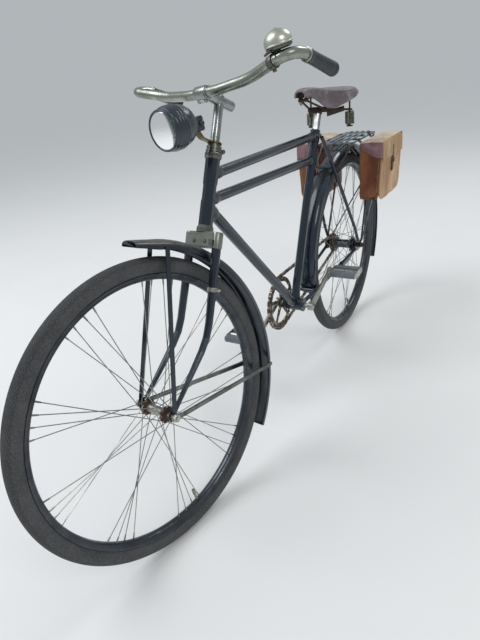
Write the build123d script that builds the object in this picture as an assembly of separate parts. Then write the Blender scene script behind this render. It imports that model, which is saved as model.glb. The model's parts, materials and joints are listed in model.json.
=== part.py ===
"""An old gents' roadster bicycle: lugged double-top-tube frame, sprung leather saddle, rack and two leather bags.

Everything is drawn in millimetres over the ground point below the rear axle, +X to the front,
+Y to the rider's left and +Z up, with the handlebar straight ahead. The steered pieces are then
turned to their resting angle, and every piece is moved so that the origin lies on the saddle's top.
"""

from build123d import *
import math
import os

# Wheels
tyre_radius = 355.0
tyre_half_width = 20.0
rim_radius = 318.0
rim_depth = 14.0
rim_half_width = 15.0
wheel_flats = 32
spokes_per_wheel = 36
spoke_radius = 1.1
spoke_crossings = 3
flange_half_thickness = 1.5
wheelbase = 1220.0

# Frame lines
head_angle = 65.0
fork_offset = 86.0
seat_angle = 66.0
bracket_forward = 498.0
bracket_height = 306.0
head_tube_low = 439.0
head_tube_length = 154.0
upper_tube_drop = 36.0
lower_tube_drop = 96.0
down_tube_drop = 112.0
seat_tube_length = 575.0
upper_tube_below_end = 17.0
lower_tube_below_end = 95.0

# Tube sizes
head_tube_radius = 16.5
steerer_radius = 12.7
bearing_gap = 0.5
cup_radius = 21.0
top_tube_radius = 13.0
down_tube_radius = 14.3
seat_tube_radius = 14.3
seat_post_radius = 12.5
chain_stay_radius = 8.0
chain_stay_end_radius = 6.2
seat_stay_radius = 6.5
lug_wall = 2.2
lug_reach = 36.0
bracket_radius = 20.0
bracket_half_width = 35.0
bracket_lug_reach = 38.0
bridge_radius = 6.0

# Rear end
dropout_inside = 60.0
dropout_thickness = 4.0
dropout_top = 22.0
axle_radius = 5.0
axle_gap = 0.4
seat_gap = 0.3
brake_arm_side = 50.6
brake_arm_length = 176.0

# Drive
chain_line = 50.0
chain_pitch = 12.7
chainring_teeth = 46
sprocket_teeth = 18
plate_thickness = 3.0
outer_link_width = 8.8
inner_link_width = 5.4
crank_length = 168.0
crank_angle = 25.0
crank_line = 60.0
crank_splay = 10.0
crank_boss_half = 7.3
crank_eye_half = 7.0
spindle_radius = 8.0
pedal_spindle_radius = 5.5
pedal_length = 92.0
pedal_half_width = 38.0
pedal_gap = 5.0
pedal_plate = 3.0

# Fork and front end
fork_half_width = 45.0
fork_tip_half_width = 54.0
fork_end_thickness = 4.0
fork_blade_radius = 11.0
fork_bend_height = 176.0
fork_bend_radius = 150.0
crown_low = 386.0
crown_high = 424.0
crown_half_depth = 15.0
strap_side = 60.6
steering_turn = -12.7

# Handlebar
stem_height = 726.0
stem_reach = 53.0
quill_radius = 11.0
bar_radius = 11.5
bar_sleeve_radius = 12.7
stem_clamp_half = 19.0
bar_straight = 42.0
bar_dip_side = 130.0
bar_dip_back = 11.0
bar_dip_rise = 7.7
bar_rise = 38.0
bar_forward = 3.0
bar_half_width = 247.0
bar_bend_radius = 30.0
grip_back = 58.0
grip_rise = 30.0
grip_length = 102.0
grip_slope = 20.4
bell_radius = 28.5
bell_share = 0.64

# Lamp
lamp_radius = 46.0
lamp_length = 96.0
lamp_before_bar = 91.7
lamp_rise = 55.0

# Mudguards
mudguard_above_tyre = 37.0
mudguard_half_width = 29.0
mudguard_depth = 21.0
mudguard_thickness = 1.5
front_guard_start = 94.0
front_guard_end = 217.0
rear_guard_start = -8.0
rear_guard_end = 207.0
stay_radius = 2.6
rear_stay_angle = 152.0
front_stay_angle = 189.6
front_strap_angle = 108.0

# Saddle
post_above_tube = 52.0
post_in_tube = 68.0
saddle_set_back = 3.0
saddle_half_length = 140.0
saddle_half_width = 103.0
saddle_above_post = 78.0
saddle_clamp_rise = 14.0
saddle_wire_radius = 3.5
spring_radius = 16.5
spring_length = 48.0
spring_turns = 5

# Rack and bags
rack_above_guard = 10.0
rack_front = 60.0
rack_back = -205.0
rack_half_width = 57.0
rack_rail_radius = 4.0
rack_leg_radius = 4.0
rack_slats = 4
slat_width = 10.0
slat_thickness = 3.5
bag_front = 50.0
bag_length = 262.0
bag_inside = 78.0
bag_thickness = 84.0
bag_below_rack = 7.0
bag_height = 205.0
leather = 3.5
lid_gap = 0.5
lid_drop = 62.0
strap_width = 22.0

rear_axle = Vector(0, 0, tyre_radius)
front_axle = Vector(wheelbase, 0, tyre_radius)
bracket = Vector(bracket_forward, 0, bracket_height)
across = Vector(0, 1, 0)
steer_up = Vector(-math.cos(math.radians(head_angle)), 0, math.sin(math.radians(head_angle)))
steer_ahead = Vector(steer_up.Z, 0, -steer_up.X)
steer_foot = front_axle - steer_ahead * fork_offset
seat_up = Vector(-math.cos(math.radians(seat_angle)), 0, math.sin(math.radians(seat_angle)))
seat_ahead = Vector(seat_up.Z, 0, -seat_up.X)
steer_axis = Axis(steer_foot, steer_up)
mudguard_radius = tyre_radius + mudguard_above_tyre
rack_height = rear_axle.Z + mudguard_radius + rack_above_guard
bag_top = rack_height - bag_below_rack
post_height = seat_tube_length + post_above_tube
post_top = bracket + seat_up * post_height
saddle_centre = post_top.X - saddle_set_back
saddle_height = post_top.Z + saddle_above_post
saddle_seat = Vector(saddle_centre, 0, saddle_height)
upper_tube_on_seat = seat_tube_length - upper_tube_below_end
lower_tube_on_seat = seat_tube_length - lower_tube_below_end
chainring_radius = chain_pitch / 2 / math.sin(math.pi / chainring_teeth)
sprocket_radius = chain_pitch / 2 / math.sin(math.pi / sprocket_teeth)


# Shared shapes

def on_head(height, ahead=0.0, side=0.0):
    """Point at a height along the steering axis, a distance ahead of it and to the left."""
    return steer_foot + steer_up * height + steer_ahead * ahead + across * side


def on_seat(height, ahead=0.0, side=0.0):
    """Point at a height along the seat tube, a distance ahead of it and to the left."""
    return bracket + seat_up * height + seat_ahead * ahead + across * side


def around(centre, radius, degrees, side=0.0):
    """Point on a circle about an axle, measured from straight ahead upwards."""
    turn = math.radians(degrees)
    return centre + Vector(radius * math.cos(turn), side, radius * math.sin(turn))


def fused(pieces):
    """One body from pieces that overlap."""
    return pieces[0].fuse(*pieces[1:])


def tube(start, end, radius):
    """True cylinder between two points."""
    along = end - start
    return Solid.make_cylinder(radius, along.length, Plane(origin=start, z_dir=along.normalized()))


def sides_for(radius):
    """Number of flats that keeps a bar round to the eye without a fine mesh."""
    if radius < 5.0:
        return 6
    if radius < 10.0:
        return 8
    return 10


def ring_of_corners(centre, way, first, radius, sides, cut_normal):
    """Corners of a regular section, slid along the bar onto the plane of its mitre."""
    second = way.cross(first)
    corners = []
    for index in range(sides):
        turn = 2 * math.pi * (index + 0.5) / sides
        out = first * (radius * math.cos(turn)) + second * (radius * math.sin(turn))
        corners.append(centre + out - way * (out.dot(cut_normal) / way.dot(cut_normal)))
    return corners


def flat_faces(corners):
    """Flat faces over a ring of four corners: one if they lie in a plane, else two."""
    first, second, third, fourth = corners
    normal = (second - first).cross(fourth - first)
    if normal.length < 1e-6:
        return [Face(Wire.make_polygon([second, third, fourth]))]
    if abs((third - first).dot(normal.normalized())) < 1e-7:
        return [Face(Wire.make_polygon(corners))]
    return [Face(Wire.make_polygon([first, second, third])), Face(Wire.make_polygon([first, third, fourth]))]


def skin(rings, closed=False):
    """Solid over rings of corners, with its ends capped, or joined up if it is closed."""
    faces = []
    pairs = list(zip(rings, rings[1:]))
    if closed:
        pairs.append((rings[-1], rings[0]))
    else:
        faces = [Face(Wire.make_polygon(rings[0])), Face(Wire.make_polygon(rings[-1]))]
    for low, high in pairs:
        for index in range(len(low)):
            after = (index + 1) % len(low)
            faces += flat_faces([low[index], low[after], high[after], high[index]])
    return Solid(Shell(faces))


def bar(points, radii, sides=None):
    """Bar with a many-sided section through points, mitred at its bends and tapered by the radii."""
    sides = sides or sides_for(max(radii))
    ways = [(end - start).normalized() for start, end in zip(points, points[1:])]
    reference = across if abs(ways[0].Y) < 0.95 else Vector(0, 0, 1)
    first = (reference - ways[0] * ways[0].dot(reference)).normalized()
    rings = []
    for point, radius, before, after in zip(points, radii, [ways[0]] + ways, ways + [ways[-1]]):
        both = before + after
        rings.append(ring_of_corners(point, before, first, radius, sides, both))
        first = first - both * (first.dot(both) / (1 + before.dot(after)))
    return skin(rings)


def rod(start, end, radius, end_radius=None, sides=None):
    """Straight bar, tapered if a second radius is given."""
    return bar([start, end], [radius, end_radius or radius], sides)


def hole(start, end, radius):
    """Cutter whose flats all lie at least a radius from its axis."""
    sides = sides_for(radius)
    return rod(start, end, radius / math.cos(math.pi / sides), sides=sides)


def spun(profile, centre, sides, way=across):
    """Many-sided turned piece from (radius, distance along) pairs in order along its axis."""
    points = [centre + way * distance for _, distance in profile]
    return bar(points, [radius for radius, _ in profile], sides)


def with_bends(points, bend_radius, steps=3):
    """Path with each corner replaced by short chords of an arc."""
    path = [points[0]]
    for before, corner, after in zip(points, points[1:], points[2:]):
        into = (corner - before).normalized()
        out = (after - corner).normalized()
        half = math.radians(into.get_angle(out)) / 2
        reach = bend_radius * math.tan(half)
        middle_way = (out - into).normalized()
        centre = corner + middle_way * (bend_radius / math.cos(half))
        start = corner - into * reach
        for step in range(steps + 1):
            turn = 2 * half * step / steps
            path.append(centre + (start - centre) * math.cos(turn) + into * (bend_radius * math.sin(turn)))
    path.append(points[-1])
    return path


def side_plate(outline, low, thickness):
    """Flat plate in the XZ plane from y = low towards the left."""
    plane = Plane(origin=(0, low, 0), x_dir=(1, 0, 0), z_dir=(0, -1, 0))
    return extrude(plane * make_face(Polyline(*outline, close=True)), amount=-thickness).solid()


def plate_on(points, low, thickness):
    """Side plate from points of the model."""
    return side_plate([(point.X, point.Z) for point in points], low, thickness)


def turned(profile, centre, arc=360.0, start=0.0):
    """Body round a wheel's axle, in flats; profile holds (radius, y) corners."""
    steps = max(2, round(arc / 360 * wheel_flats))
    step = arc / steps
    widen = 1 / math.cos(math.radians(step / 2))
    whole = arc == 360.0
    rings = []
    for index in range(steps if whole else steps + 1):
        turn = start + step * (index + 0.5 * whole)
        rings.append([around(centre, radius * widen, turn, y) for radius, y in profile])
    return skin(rings, whole)


def mirrored(profile):
    """Whole outline from the corners of its +y half, listed from the inside out."""
    return [(r, -y) for r, y in profile] + [(r, y) for r, y in reversed(profile)]


def nut(centre, side, radius, height):
    """Hexagon nut with its washer, standing out from a point along the axle."""
    start = centre + across * (side * 1.6)
    hexagon = extrude(Plane(origin=start, z_dir=across * side) * RegularPolygon(radius, 6), amount=height).solid()
    return [hexagon, rod(centre, start, radius + 1.0, sides=8)]


def eye(centre, side, start, thickness, radius):
    """Flat ring on an axle with the cutter for its hole."""
    inner = centre + across * (side * start)
    outer = inner + across * (side * thickness)
    cutter = hole(inner - across * (side * 5), outer + across * (side * 5), axle_radius + 0.1)
    return rod(inner, outer, radius, sides=8), cutter


# Frame

head_tube_high = head_tube_low + head_tube_length
upper_head_joint = on_head(head_tube_high - upper_tube_drop)
lower_head_joint = on_head(head_tube_high - lower_tube_drop)
down_head_joint = on_head(head_tube_high - down_tube_drop)
upper_seat_joint = on_seat(upper_tube_on_seat)
lower_seat_joint = on_seat(lower_tube_on_seat)


def socket(start, towards, radius, reach=lug_reach):
    """Lug socket for a tube: a collar with a thinned lip."""
    along = (towards - start).normalized()
    wide = radius + lug_wall
    return bar([start, start + along * (reach * 0.7), start + along * reach], [wide, wide, radius + 0.8], 10)


def frame_tube(start, end, radius, start_reach=lug_reach, end_reach=lug_reach):
    """Frame tube that begins and ends at the lips of its lugs."""
    along = (end - start).normalized()
    return tube(start + along * start_reach, end - along * end_reach, radius)


def head_tube():
    """Head tube with lug rings at both ends and the sockets of both top tubes and the down tube."""
    low = head_tube_low
    high = head_tube_high
    thick = head_tube_radius + 1.4
    pieces = [bar([on_head(low), on_head(low + head_tube_length * 0.36), on_head(low + head_tube_length * 0.4),
                   on_head(low + head_tube_length * 0.6), on_head(low + head_tube_length * 0.64), on_head(high)],
                  [thick, thick, head_tube_radius, head_tube_radius, thick, thick])]
    pieces.append(socket(upper_head_joint, upper_seat_joint, top_tube_radius))
    pieces.append(socket(lower_head_joint, lower_seat_joint, top_tube_radius))
    pieces.append(socket(down_head_joint, bracket, down_tube_radius))
    return fused(pieces).cut(hole(on_head(low - 5), on_head(high + 5), steerer_radius + bearing_gap))


def headset_cups():
    """Bearing cups at both ends of the head tube."""
    end = head_tube_radius + 1.4
    bore = hole(on_head(crown_high - 9), on_head(head_tube_high + 20), steerer_radius + bearing_gap)
    lower = bar([on_head(crown_high + 1), on_head(crown_high + 8), on_head(head_tube_low)],
                [cup_radius, cup_radius, end])
    upper = bar([on_head(head_tube_high), on_head(head_tube_high + 3), on_head(head_tube_high + 7.5)],
                [end, cup_radius, cup_radius])
    return Compound([lower.cut(bore).solid(), upper.cut(bore).solid()])


def seat_tube():
    """Seat tube with its lug, lower collar, clamp bolt and the post's socket."""
    collar = seat_tube_radius + lug_wall
    lug_low = upper_tube_on_seat - 22
    pieces = [
        rod(on_seat(bracket_lug_reach), on_seat(lug_low + 1), seat_tube_radius),
        rod(on_seat(lug_low), on_seat(seat_tube_length), collar),
        rod(on_seat(lower_tube_on_seat - 20), on_seat(lower_tube_on_seat + 20), collar),
        socket(upper_seat_joint, upper_head_joint, top_tube_radius),
        socket(lower_seat_joint, lower_head_joint, top_tube_radius),
    ]
    bolt = on_seat(seat_tube_length - 11, -collar - 5)
    pieces.append(rod(bolt - across * 13, bolt + across * 13, 6.5))
    bore = rod(on_seat(seat_tube_length - post_in_tube - 2), on_seat(seat_tube_length + 5),
               seat_post_radius + 0.1, sides=12)
    return fused(pieces).cut(bore)


def bracket_shell():
    """Bottom bracket shell with sockets for the seat tube, the down tube and both chain stays."""
    width = bracket_half_width
    lip = bracket_radius + 2.0
    pieces = [
        spun([(lip, -width), (lip, 4 - width), (bracket_radius, 5 - width), (bracket_radius, width - 5),
              (lip, width - 4), (lip, width)], bracket, 12),
        socket(bracket, upper_seat_joint, seat_tube_radius, bracket_lug_reach),
        socket(bracket, down_head_joint, down_tube_radius, bracket_lug_reach),
    ]
    for side in (-1, 1):
        start, bend, _ = chain_stay_points(side)
        along = (bend - start).normalized()
        pieces.append(rod(start - along * 16, start, chain_stay_radius + lug_wall))
    return fused(pieces).cut(hole(bracket - across * 60, bracket + across * 60, spindle_radius + 0.3))


def chain_stay_points(side):
    """Centre line of a chain stay: narrow beside the chainring, then out to the dropout."""
    to_axle = rear_axle - bracket
    end_side = dropout_inside + dropout_thickness / 2
    return [
        bracket + to_axle * 0.05 + across * (side * 25),
        bracket + to_axle * 0.2 + across * (side * 36.5),
        bracket + to_axle * 0.91 + across * (side * end_side),
    ]


def chain_stay(side):
    """Chain stay with the slotted dropout at its end."""
    points = chain_stay_points(side)
    stay = bar(points, [chain_stay_radius, chain_stay_radius - 1.5, chain_stay_end_radius], 10)
    x, z = rear_axle.X, rear_axle.Z
    front = points[-1].X + 6
    half = axle_radius + 0.2
    outline = [
        (front, points[-1].Z - 6), (front, points[-1].Z + 6), (x + 20, z + dropout_top), (x + 2, z + dropout_top),
        (x - 24, z + 14), (x - 24, z + half), (x - 3, z + half), (x + 3, z + half), (x + half + 0.6, z + 2.5),
        (x + half + 0.6, z - 2.5), (x + 3, z - half), (x - 24, z - half), (x - 24, z - 14), (x + 16, z - 18),
    ]
    low = dropout_inside if side > 0 else -dropout_inside - dropout_thickness
    return [stay, side_plate(outline, low, dropout_thickness)]


def chain_stays():
    """Both chain stays with the bridge that carries the mudguard's front end."""
    way = (bracket - rear_axle).normalized()
    centre = rear_axle + way * (mudguard_radius + bridge_radius + seat_gap)
    half = across * 34
    return fused([*chain_stay(1), *chain_stay(-1), rod(centre - half, centre + half, bridge_radius)])


def seat_stay_points(side):
    """Centre line of a seat stay: foot, two bends and the end beside the seat lug."""
    foot = rear_axle + Vector(11, side * (dropout_inside + dropout_thickness / 2), dropout_top)
    lug_side = seat_tube_radius + lug_wall + seat_stay_radius + seat_gap
    top = on_seat(upper_tube_on_seat - 4, -4, side * lug_side)
    along = top - foot
    low = Vector(foot.X + along.X * 0.14, foot.Y, foot.Z + along.Z * 0.14)
    high = Vector(foot.X + along.X * 0.75, side * 37.5, foot.Z + along.Z * 0.75)
    return [foot, low, high, top]


def seat_stays():
    """Both seat stays, flush on the dropouts, with the bridge over the mudguard."""
    radius = seat_stay_radius
    pieces = []
    for side in (-1, 1):
        foot, low, high, top = seat_stay_points(side)
        pieces.append(bar([foot - (low - foot) * 0.1, low, high, top], [radius - 1, radius - 0.5, radius, radius], 10))
    foot, low, high, _ = seat_stay_points(1)
    reach = mudguard_radius + bridge_radius + seat_gap
    start = (low - rear_axle).dot((high - low).normalized())
    side_gap = (low - rear_axle - (high - low).normalized() * start)
    level = math.sqrt(reach ** 2 - side_gap.X ** 2 - side_gap.Z ** 2)
    centre = low + (high - low).normalized() * (level - start)
    pieces.append(rod(Vector(centre.X, -centre.Y, centre.Z), centre, bridge_radius))
    below = Box(seat_stay_radius * 9, dropout_inside * 3.4, dropout_top * 2)
    below = below.locate(Location((foot.X, 0, foot.Z - dropout_top)))
    return fused(pieces).cut(below).solid()


# Rear wheel's carriers, mudguards and rack

def rear_axle_set():
    """Rear axle with its lock nuts inside the dropouts and its nuts outside."""
    outside = dropout_inside + dropout_thickness
    half = across * (outside + 18)
    pieces = [rod(rear_axle - half, rear_axle + half, axle_radius)]
    for side, lock_start in ((1, brake_arm_side + 2.1), (-1, chain_line + 3.6)):
        pieces += nut(rear_axle + across * (side * (outside + 6.4)), side, 9.5, 8)
        lock = rear_axle + across * (side * lock_start)
        pieces.append(rod(lock, rear_axle + across * (side * (dropout_inside - 0.1)), 9.0))
    return fused(pieces)


def brake_arm():
    """Arm of the back-pedal brake with its clip round the left chain stay."""
    x, z = rear_axle.X, rear_axle.Z
    low = brake_arm_side
    _, bend, end = chain_stay_points(1)
    share = (end.X - brake_arm_length) / (end.X - bend.X)
    clip = end + (bend - end) * share
    along = (bend - end).normalized()
    stay = chain_stay_end_radius + (chain_stay_radius - 1.5 - chain_stay_end_radius) * share
    below = clip.Z - stay
    outline = [
        (x - 12, z - 8), (x - 8, z + 10), (x + 8, z + 11), (clip.X - 90, below - 1.5), (clip.X + 8, below - 5),
        (clip.X + 8, below - 14), (clip.X - 92, below - 14), (x + 6, z - 13),
    ]
    arm = side_plate(outline, low, 2.0)
    cover = rod(Vector(x, low - 2.2, z), Vector(x, low + 1, z), 18.0)
    band = rod(clip - along * 6, clip + along * 6, stay + 2.1, sides=10)
    ear = side_plate([(clip.X - 6, below + 1), (clip.X + 6, below + 1), (clip.X + 6, below - 14),
                      (clip.X - 6, below - 14)], low + 1.9, 2.0)
    bolt = rod(Vector(clip.X, low - 4, below - 9), Vector(clip.X, low + 8, below - 9), 3.0)
    inside = rod(clip - along * 12, clip + along * 12, stay + 0.15, sides=10)
    axle = hole(Vector(x, low - 9, z), Vector(x, low + 9, z), axle_radius + 0.1)
    return fused([arm, cover, fused([band, ear, bolt]).cut(inside)]).cut(axle).solid()


def guard_profile():
    """Rolled section of a mudguard, a thin sheet with turned-down sides."""
    edge = mudguard_half_width
    thin = mudguard_thickness
    low = mudguard_radius - mudguard_depth
    outside = [(low, edge), (mudguard_radius - 7, edge - 3.5), (mudguard_radius, edge - 16)]
    inside = [(low, edge - thin), (mudguard_radius - 7 - thin * 0.7, edge - 3.5 - thin),
              (mudguard_radius - thin, edge - 17)]
    return outside + [(r, -y) for r, y in reversed(outside)] + [(r, -y) for r, y in inside] + inside[::-1]


def mudguard(centre, start, end):
    """Mudguard round part of a wheel."""
    return turned(guard_profile(), centre, end - start, start)


def round_stay(centre, side, start, angle):
    """Round stay from an axle to the mudguard's edge."""
    ring, cutter = eye(centre, side, start, 1.8, 9.0)
    reach = mudguard_radius - mudguard_depth + 7
    points = [
        around(centre, 7, angle, side * (start + 0.9)),
        around(centre, 27, angle, side * (start + stay_radius + 0.2)),
        around(centre, reach, angle, side * (mudguard_half_width + stay_radius + seat_gap)),
    ]
    return fused([ring, bar(points, [1.0, stay_radius, stay_radius])]).cut(cutter).solid()


def rear_stays():
    """Round stays of the rear mudguard."""
    start = dropout_inside + dropout_thickness + 0.1
    return Compound([round_stay(rear_axle, side, start, rear_stay_angle) for side in (-1, 1)])


def rack_leg(side):
    """Leg from the rear axle up to the rack's rail."""
    start = dropout_inside + dropout_thickness + 2.0
    ring, cutter = eye(rear_axle, side, start, 2.2, 10.0)
    radius = rack_leg_radius
    flat_side = rack_half_width + (rack_rail_radius + radius) * math.cos(math.pi / sides_for(radius)) + seat_gap
    points = [
        rear_axle + Vector(-3, side * (start + 1.1), 7),
        rear_axle + Vector(-12, side * (start + radius + 0.6), 38),
        Vector(rack_back + 30, side * flat_side, rack_height + 2),
    ]
    return fused([ring, bar(points, [1.1, radius, radius])]).cut(cutter).solid()


def rear_rack():
    """Luggage rack: rails, end bars, long slats, cross bars and the struts to the seat stays."""
    rail = rack_rail_radius
    length = rack_front - rack_back
    left = rack_half_width
    pieces = []
    for side in (-1, 1):
        pieces.append(rod(Vector(rack_back - rail * 0.7, side * left, rack_height),
                          Vector(rack_front + rail * 0.7, side * left, rack_height), rail))
    for x in (rack_back, rack_front):
        pieces.append(rod(Vector(x, -left, rack_height), Vector(x, left, rack_height), rail))
    pitch = 2 * left / (rack_slats + 1)
    for slat in range(rack_slats):
        y = (slat + 1) * pitch - left
        low = Vector(rack_back, y - slat_width / 2, rack_height + rail - 0.8)
        pieces.append(Solid.make_box(length, slat_width, slat_thickness, Plane(origin=low)))
    for share in (0.33, 0.67):
        x = rack_back + length * share
        pieces.append(rod(Vector(x, -left, rack_height), Vector(x, left, rack_height), rail))
    for side in (-1, 1):
        _, low, high, _ = seat_stay_points(side)
        stay = low + (high - low) * 0.93
        end = Vector(stay.X - seat_stay_radius - 3.9, stay.Y + side * 4, stay.Z)
        pieces.append(rod(Vector(rack_front - 6, side * left, rack_height), end, 3.5))
    return fused(pieces)


# Chain and drive

def circle_point(centre, radius, turn):
    """Point of a circle on the chain line; turn in radians from straight ahead upwards."""
    return centre + Vector(radius * math.cos(turn), -chain_line, radius * math.sin(turn))


def chain_points():
    """Pin centres of the closed chain, in order, with an even count of links."""
    gap = bracket - rear_axle
    distance = math.hypot(gap.X, gap.Z)
    lean = math.atan2(gap.Z, gap.X)
    wrap = math.acos((chainring_radius - sprocket_radius) / distance)
    straight = math.sqrt(distance ** 2 - (chainring_radius - sprocket_radius) ** 2)
    front_arc = chainring_radius * 2 * (math.pi - wrap)
    total = sprocket_radius * 2 * wrap + front_arc + 2 * straight
    count = 2 * round(total / chain_pitch / 2)
    upper = lean + math.pi - wrap
    lower = lean - math.pi + wrap
    runs = [
        (circle_point(rear_axle, sprocket_radius, upper), circle_point(bracket, chainring_radius, upper)),
        (circle_point(bracket, chainring_radius, lower), circle_point(rear_axle, sprocket_radius, lower)),
    ]
    points = []
    for index in range(count):
        way = total * index / count
        if way < straight:
            points.append(runs[0][0] + (runs[0][1] - runs[0][0]) * (way / straight))
        elif way < straight + front_arc:
            points.append(circle_point(bracket, chainring_radius, upper - (way - straight) / chainring_radius))
        elif way < 2 * straight + front_arc:
            share = (way - straight - front_arc) / straight
            points.append(runs[1][0] + (runs[1][1] - runs[1][0]) * share)
        else:
            way -= 2 * straight + front_arc
            points.append(circle_point(rear_axle, sprocket_radius, lower - way / sprocket_radius))
    return points


def link(start, end, width, half_height, overhang):
    """One chain link as a flat bar from pin to pin."""
    along = (end - start).normalized()
    up = Vector(-along.Z, 0, along.X)
    middle = (start + end) * 0.5
    half = (end - start).length / 2 + overhang
    corners = [(half, half_height), (-half, half_height), (-half, -half_height), (half, -half_height)]
    return plate_on([middle + along * u + up * v for u, v in corners], -chain_line - width / 2, width)


def chain():
    """Closed roller chain: wide outer links joined by narrow inner ones."""
    points = chain_points()
    pieces = []
    for index, start in enumerate(points):
        end = points[(index + 1) % len(points)]
        if index % 2:
            pieces.append(link(start, end, inner_link_width, 2.6, -3.0))
        else:
            pieces.append(link(start, end, outer_link_width, 4.0, 3.4))
    return fused(pieces)


def toothed(centre, teeth, tip, depth, thickness, y):
    """Toothed disc with blunt tips and V-shaped gullets."""
    outline = []
    for tooth in range(teeth):
        for part, radius in ((-0.15, tip), (0.15, tip), (0.5, tip - depth)):
            turn = 2 * math.pi * (tooth + part) / teeth
            outline.append(centre + Vector(radius * math.cos(turn), 0, radius * math.sin(turn)))
    return plate_on(outline, y - thickness / 2, thickness)


def chainring():
    """Chainring with five arms round a hub."""
    tip = chainring_radius - 5.0
    inside = tip - 15
    disc = toothed(bracket, chainring_teeth, tip, 5.5, plate_thickness, -chain_line)
    low = bracket - across * (chain_line + 9)
    high = bracket - across * (chain_line - 9)
    pieces = [disc.cut(rod(low, high, inside, sides=20))]
    for arm in range(5):
        turn = arm * 72 + 18
        inner = around(bracket, 12, turn, -chain_line)
        outer = around(bracket, inside + 3, turn, -chain_line)
        along = (outer - inner).normalized()
        wide = Vector(-along.Z, 0, along.X)
        pieces.append(plate_on([inner - wide * 9, outer - wide * 5, outer + wide * 5, inner + wide * 9],
                               -chain_line - plate_thickness / 2, plate_thickness))
    hub_half = across * 2.5
    middle = bracket - across * chain_line
    pieces.append(rod(middle - hub_half, middle + hub_half, 20.0))
    return fused(pieces).cut(hole(low, high, spindle_radius + 0.05)).solid()


def crank_turn(side):
    """Angle of a crank from straight ahead upwards."""
    return 180 - crank_angle if side > 0 else -crank_angle


def crank_eye(side):
    """Middle of the eye that takes the pedal spindle."""
    return around(bracket, crank_length, crank_turn(side), side * (crank_line + crank_splay))


def crank(side):
    """Crank arm with its boss, cotter, eye and pedal spindle; the left one carries the bracket spindle."""
    turn = crank_turn(side)
    root = bracket + across * (side * crank_line)
    tip = crank_eye(side)
    boss_half = across * crank_boss_half
    eye_half = across * crank_eye_half
    up = Vector(-math.sin(math.radians(turn)), 0, math.cos(math.radians(turn)))
    pieces = [
        rod(root - boss_half, root + boss_half, 15.0),
        rod(around(bracket, 8, turn, side * (crank_line + 4)), tip, 8.5, 7.5, 12),
        rod(tip - eye_half, tip + eye_half, 11.0),
        rod(root - up * 21, root + up * 18, 4.2),
        rod(tip, tip + across * (side * (pedal_gap + pedal_length * 0.5)), pedal_spindle_radius),
    ]
    through = across * (crank_line + crank_boss_half - 1)
    if side > 0:
        return fused([*pieces, rod(bracket - through, bracket + through, spindle_radius)])
    return fused(pieces).cut(hole(bracket, bracket - through * 1.1, spindle_radius + 0.05)).solid()


def pedal_centre(side):
    """Middle of a pedal, on the crank's end."""
    return crank_eye(side) + across * (side * (crank_eye_half + pedal_gap + pedal_length / 2))


def pedal(side):
    """Pedal's steel: spindle barrel and the two end plates that hold the rubbers."""
    centre = pedal_centre(side)
    half = across * (pedal_length / 2)
    wide = pedal_half_width
    pieces = [rod(centre - half, centre + half, 8.5, sides=10)]
    for end in (-1, 1):
        y = centre.Y + end * (pedal_length - pedal_plate) / 2
        outline = [centre + Vector(u, 0, v) for u, v in
                   ((-wide, -7), (-wide, 7), (-20, 12), (20, 12), (wide, 7), (wide, -7), (20, -12), (-20, -12))]
        pieces.append(plate_on(outline, y - pedal_plate / 2, pedal_plate))
    inner = centre - across * (side * (pedal_length / 2 + 5))
    bore = hole(inner, inner + across * (side * (pedal_length * 0.5 + 5)), pedal_spindle_radius + bearing_gap)
    return fused(pieces).cut(bore).solid()


def pedal_rubbers(side):
    """Two rubber blocks between the pedal's end plates, each with a ridge along its tread."""
    centre = pedal_centre(side)
    length = pedal_length - 2 * pedal_plate - 0.4
    blocks = []
    for place in (-1, 1):
        middle = centre + Vector(place * (pedal_half_width - 13), 0, 0)
        outline = [middle + Vector(u, 0, v) for u, v in
                   ((-11, -9), (-12, 0), (-11, 9), (-4, 11), (4, 11), (11, 9), (12, 0), (11, -9), (4, -11), (-4, -11))]
        blocks.append(plate_on(outline, centre.Y - length / 2, length))
    return Compound(blocks)


# Wheels

def tyre(centre):
    """Tyre with a rounded tread."""
    width = tyre_half_width
    half = [(rim_radius + 0.1, width - 7), (rim_radius + 14, width), (tyre_radius - 8, width - 5),
            (tyre_radius, 6.0)]
    return turned(mirrored(half), centre)


def rim(centre):
    """Rim with a well that narrows towards the spokes."""
    half = [(rim_radius - rim_depth, 5.0), (rim_radius - rim_depth + 4, rim_half_width - 3),
            (rim_radius, rim_half_width)]
    return turned(mirrored(half), centre)


def spokes(centre, flange_y, flange_radius):
    """Crossed spokes, alternately from the outside and the inside of each flange."""
    per_flange = spokes_per_wheel // 2
    rim_inside = rim_radius - rim_depth - seat_gap
    beside = flange_half_thickness + spoke_radius + 0.2
    lean = spoke_crossings * 360 / per_flange
    hub = Vector(0, 0, 0)
    solids = []
    for side in (-1, 1):
        for lead, offset in ((1, beside + 0.9), (-1, -beside)):
            shift = (0.5 if side > 0 else 0.0) + (0.25 if lead > 0 else 0.0)
            foot_turn = shift * 360 / per_flange
            head = around(hub, rim_inside, foot_turn + lead * lean, side * 3.0)
            foot = around(hub, flange_radius, foot_turn, side * (flange_y + offset))
            plane = Plane(origin=foot, z_dir=(head - foot).normalized())
            one = extrude(plane * RegularPolygon(spoke_radius, 3), amount=(head - foot).length - 0.3).solid()
            for step in range(per_flange // 2):
                solids.append(one.rotate(Axis.Y, step * 720 / per_flange).moved(Location(centre)))
    return Compound(solids)


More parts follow.
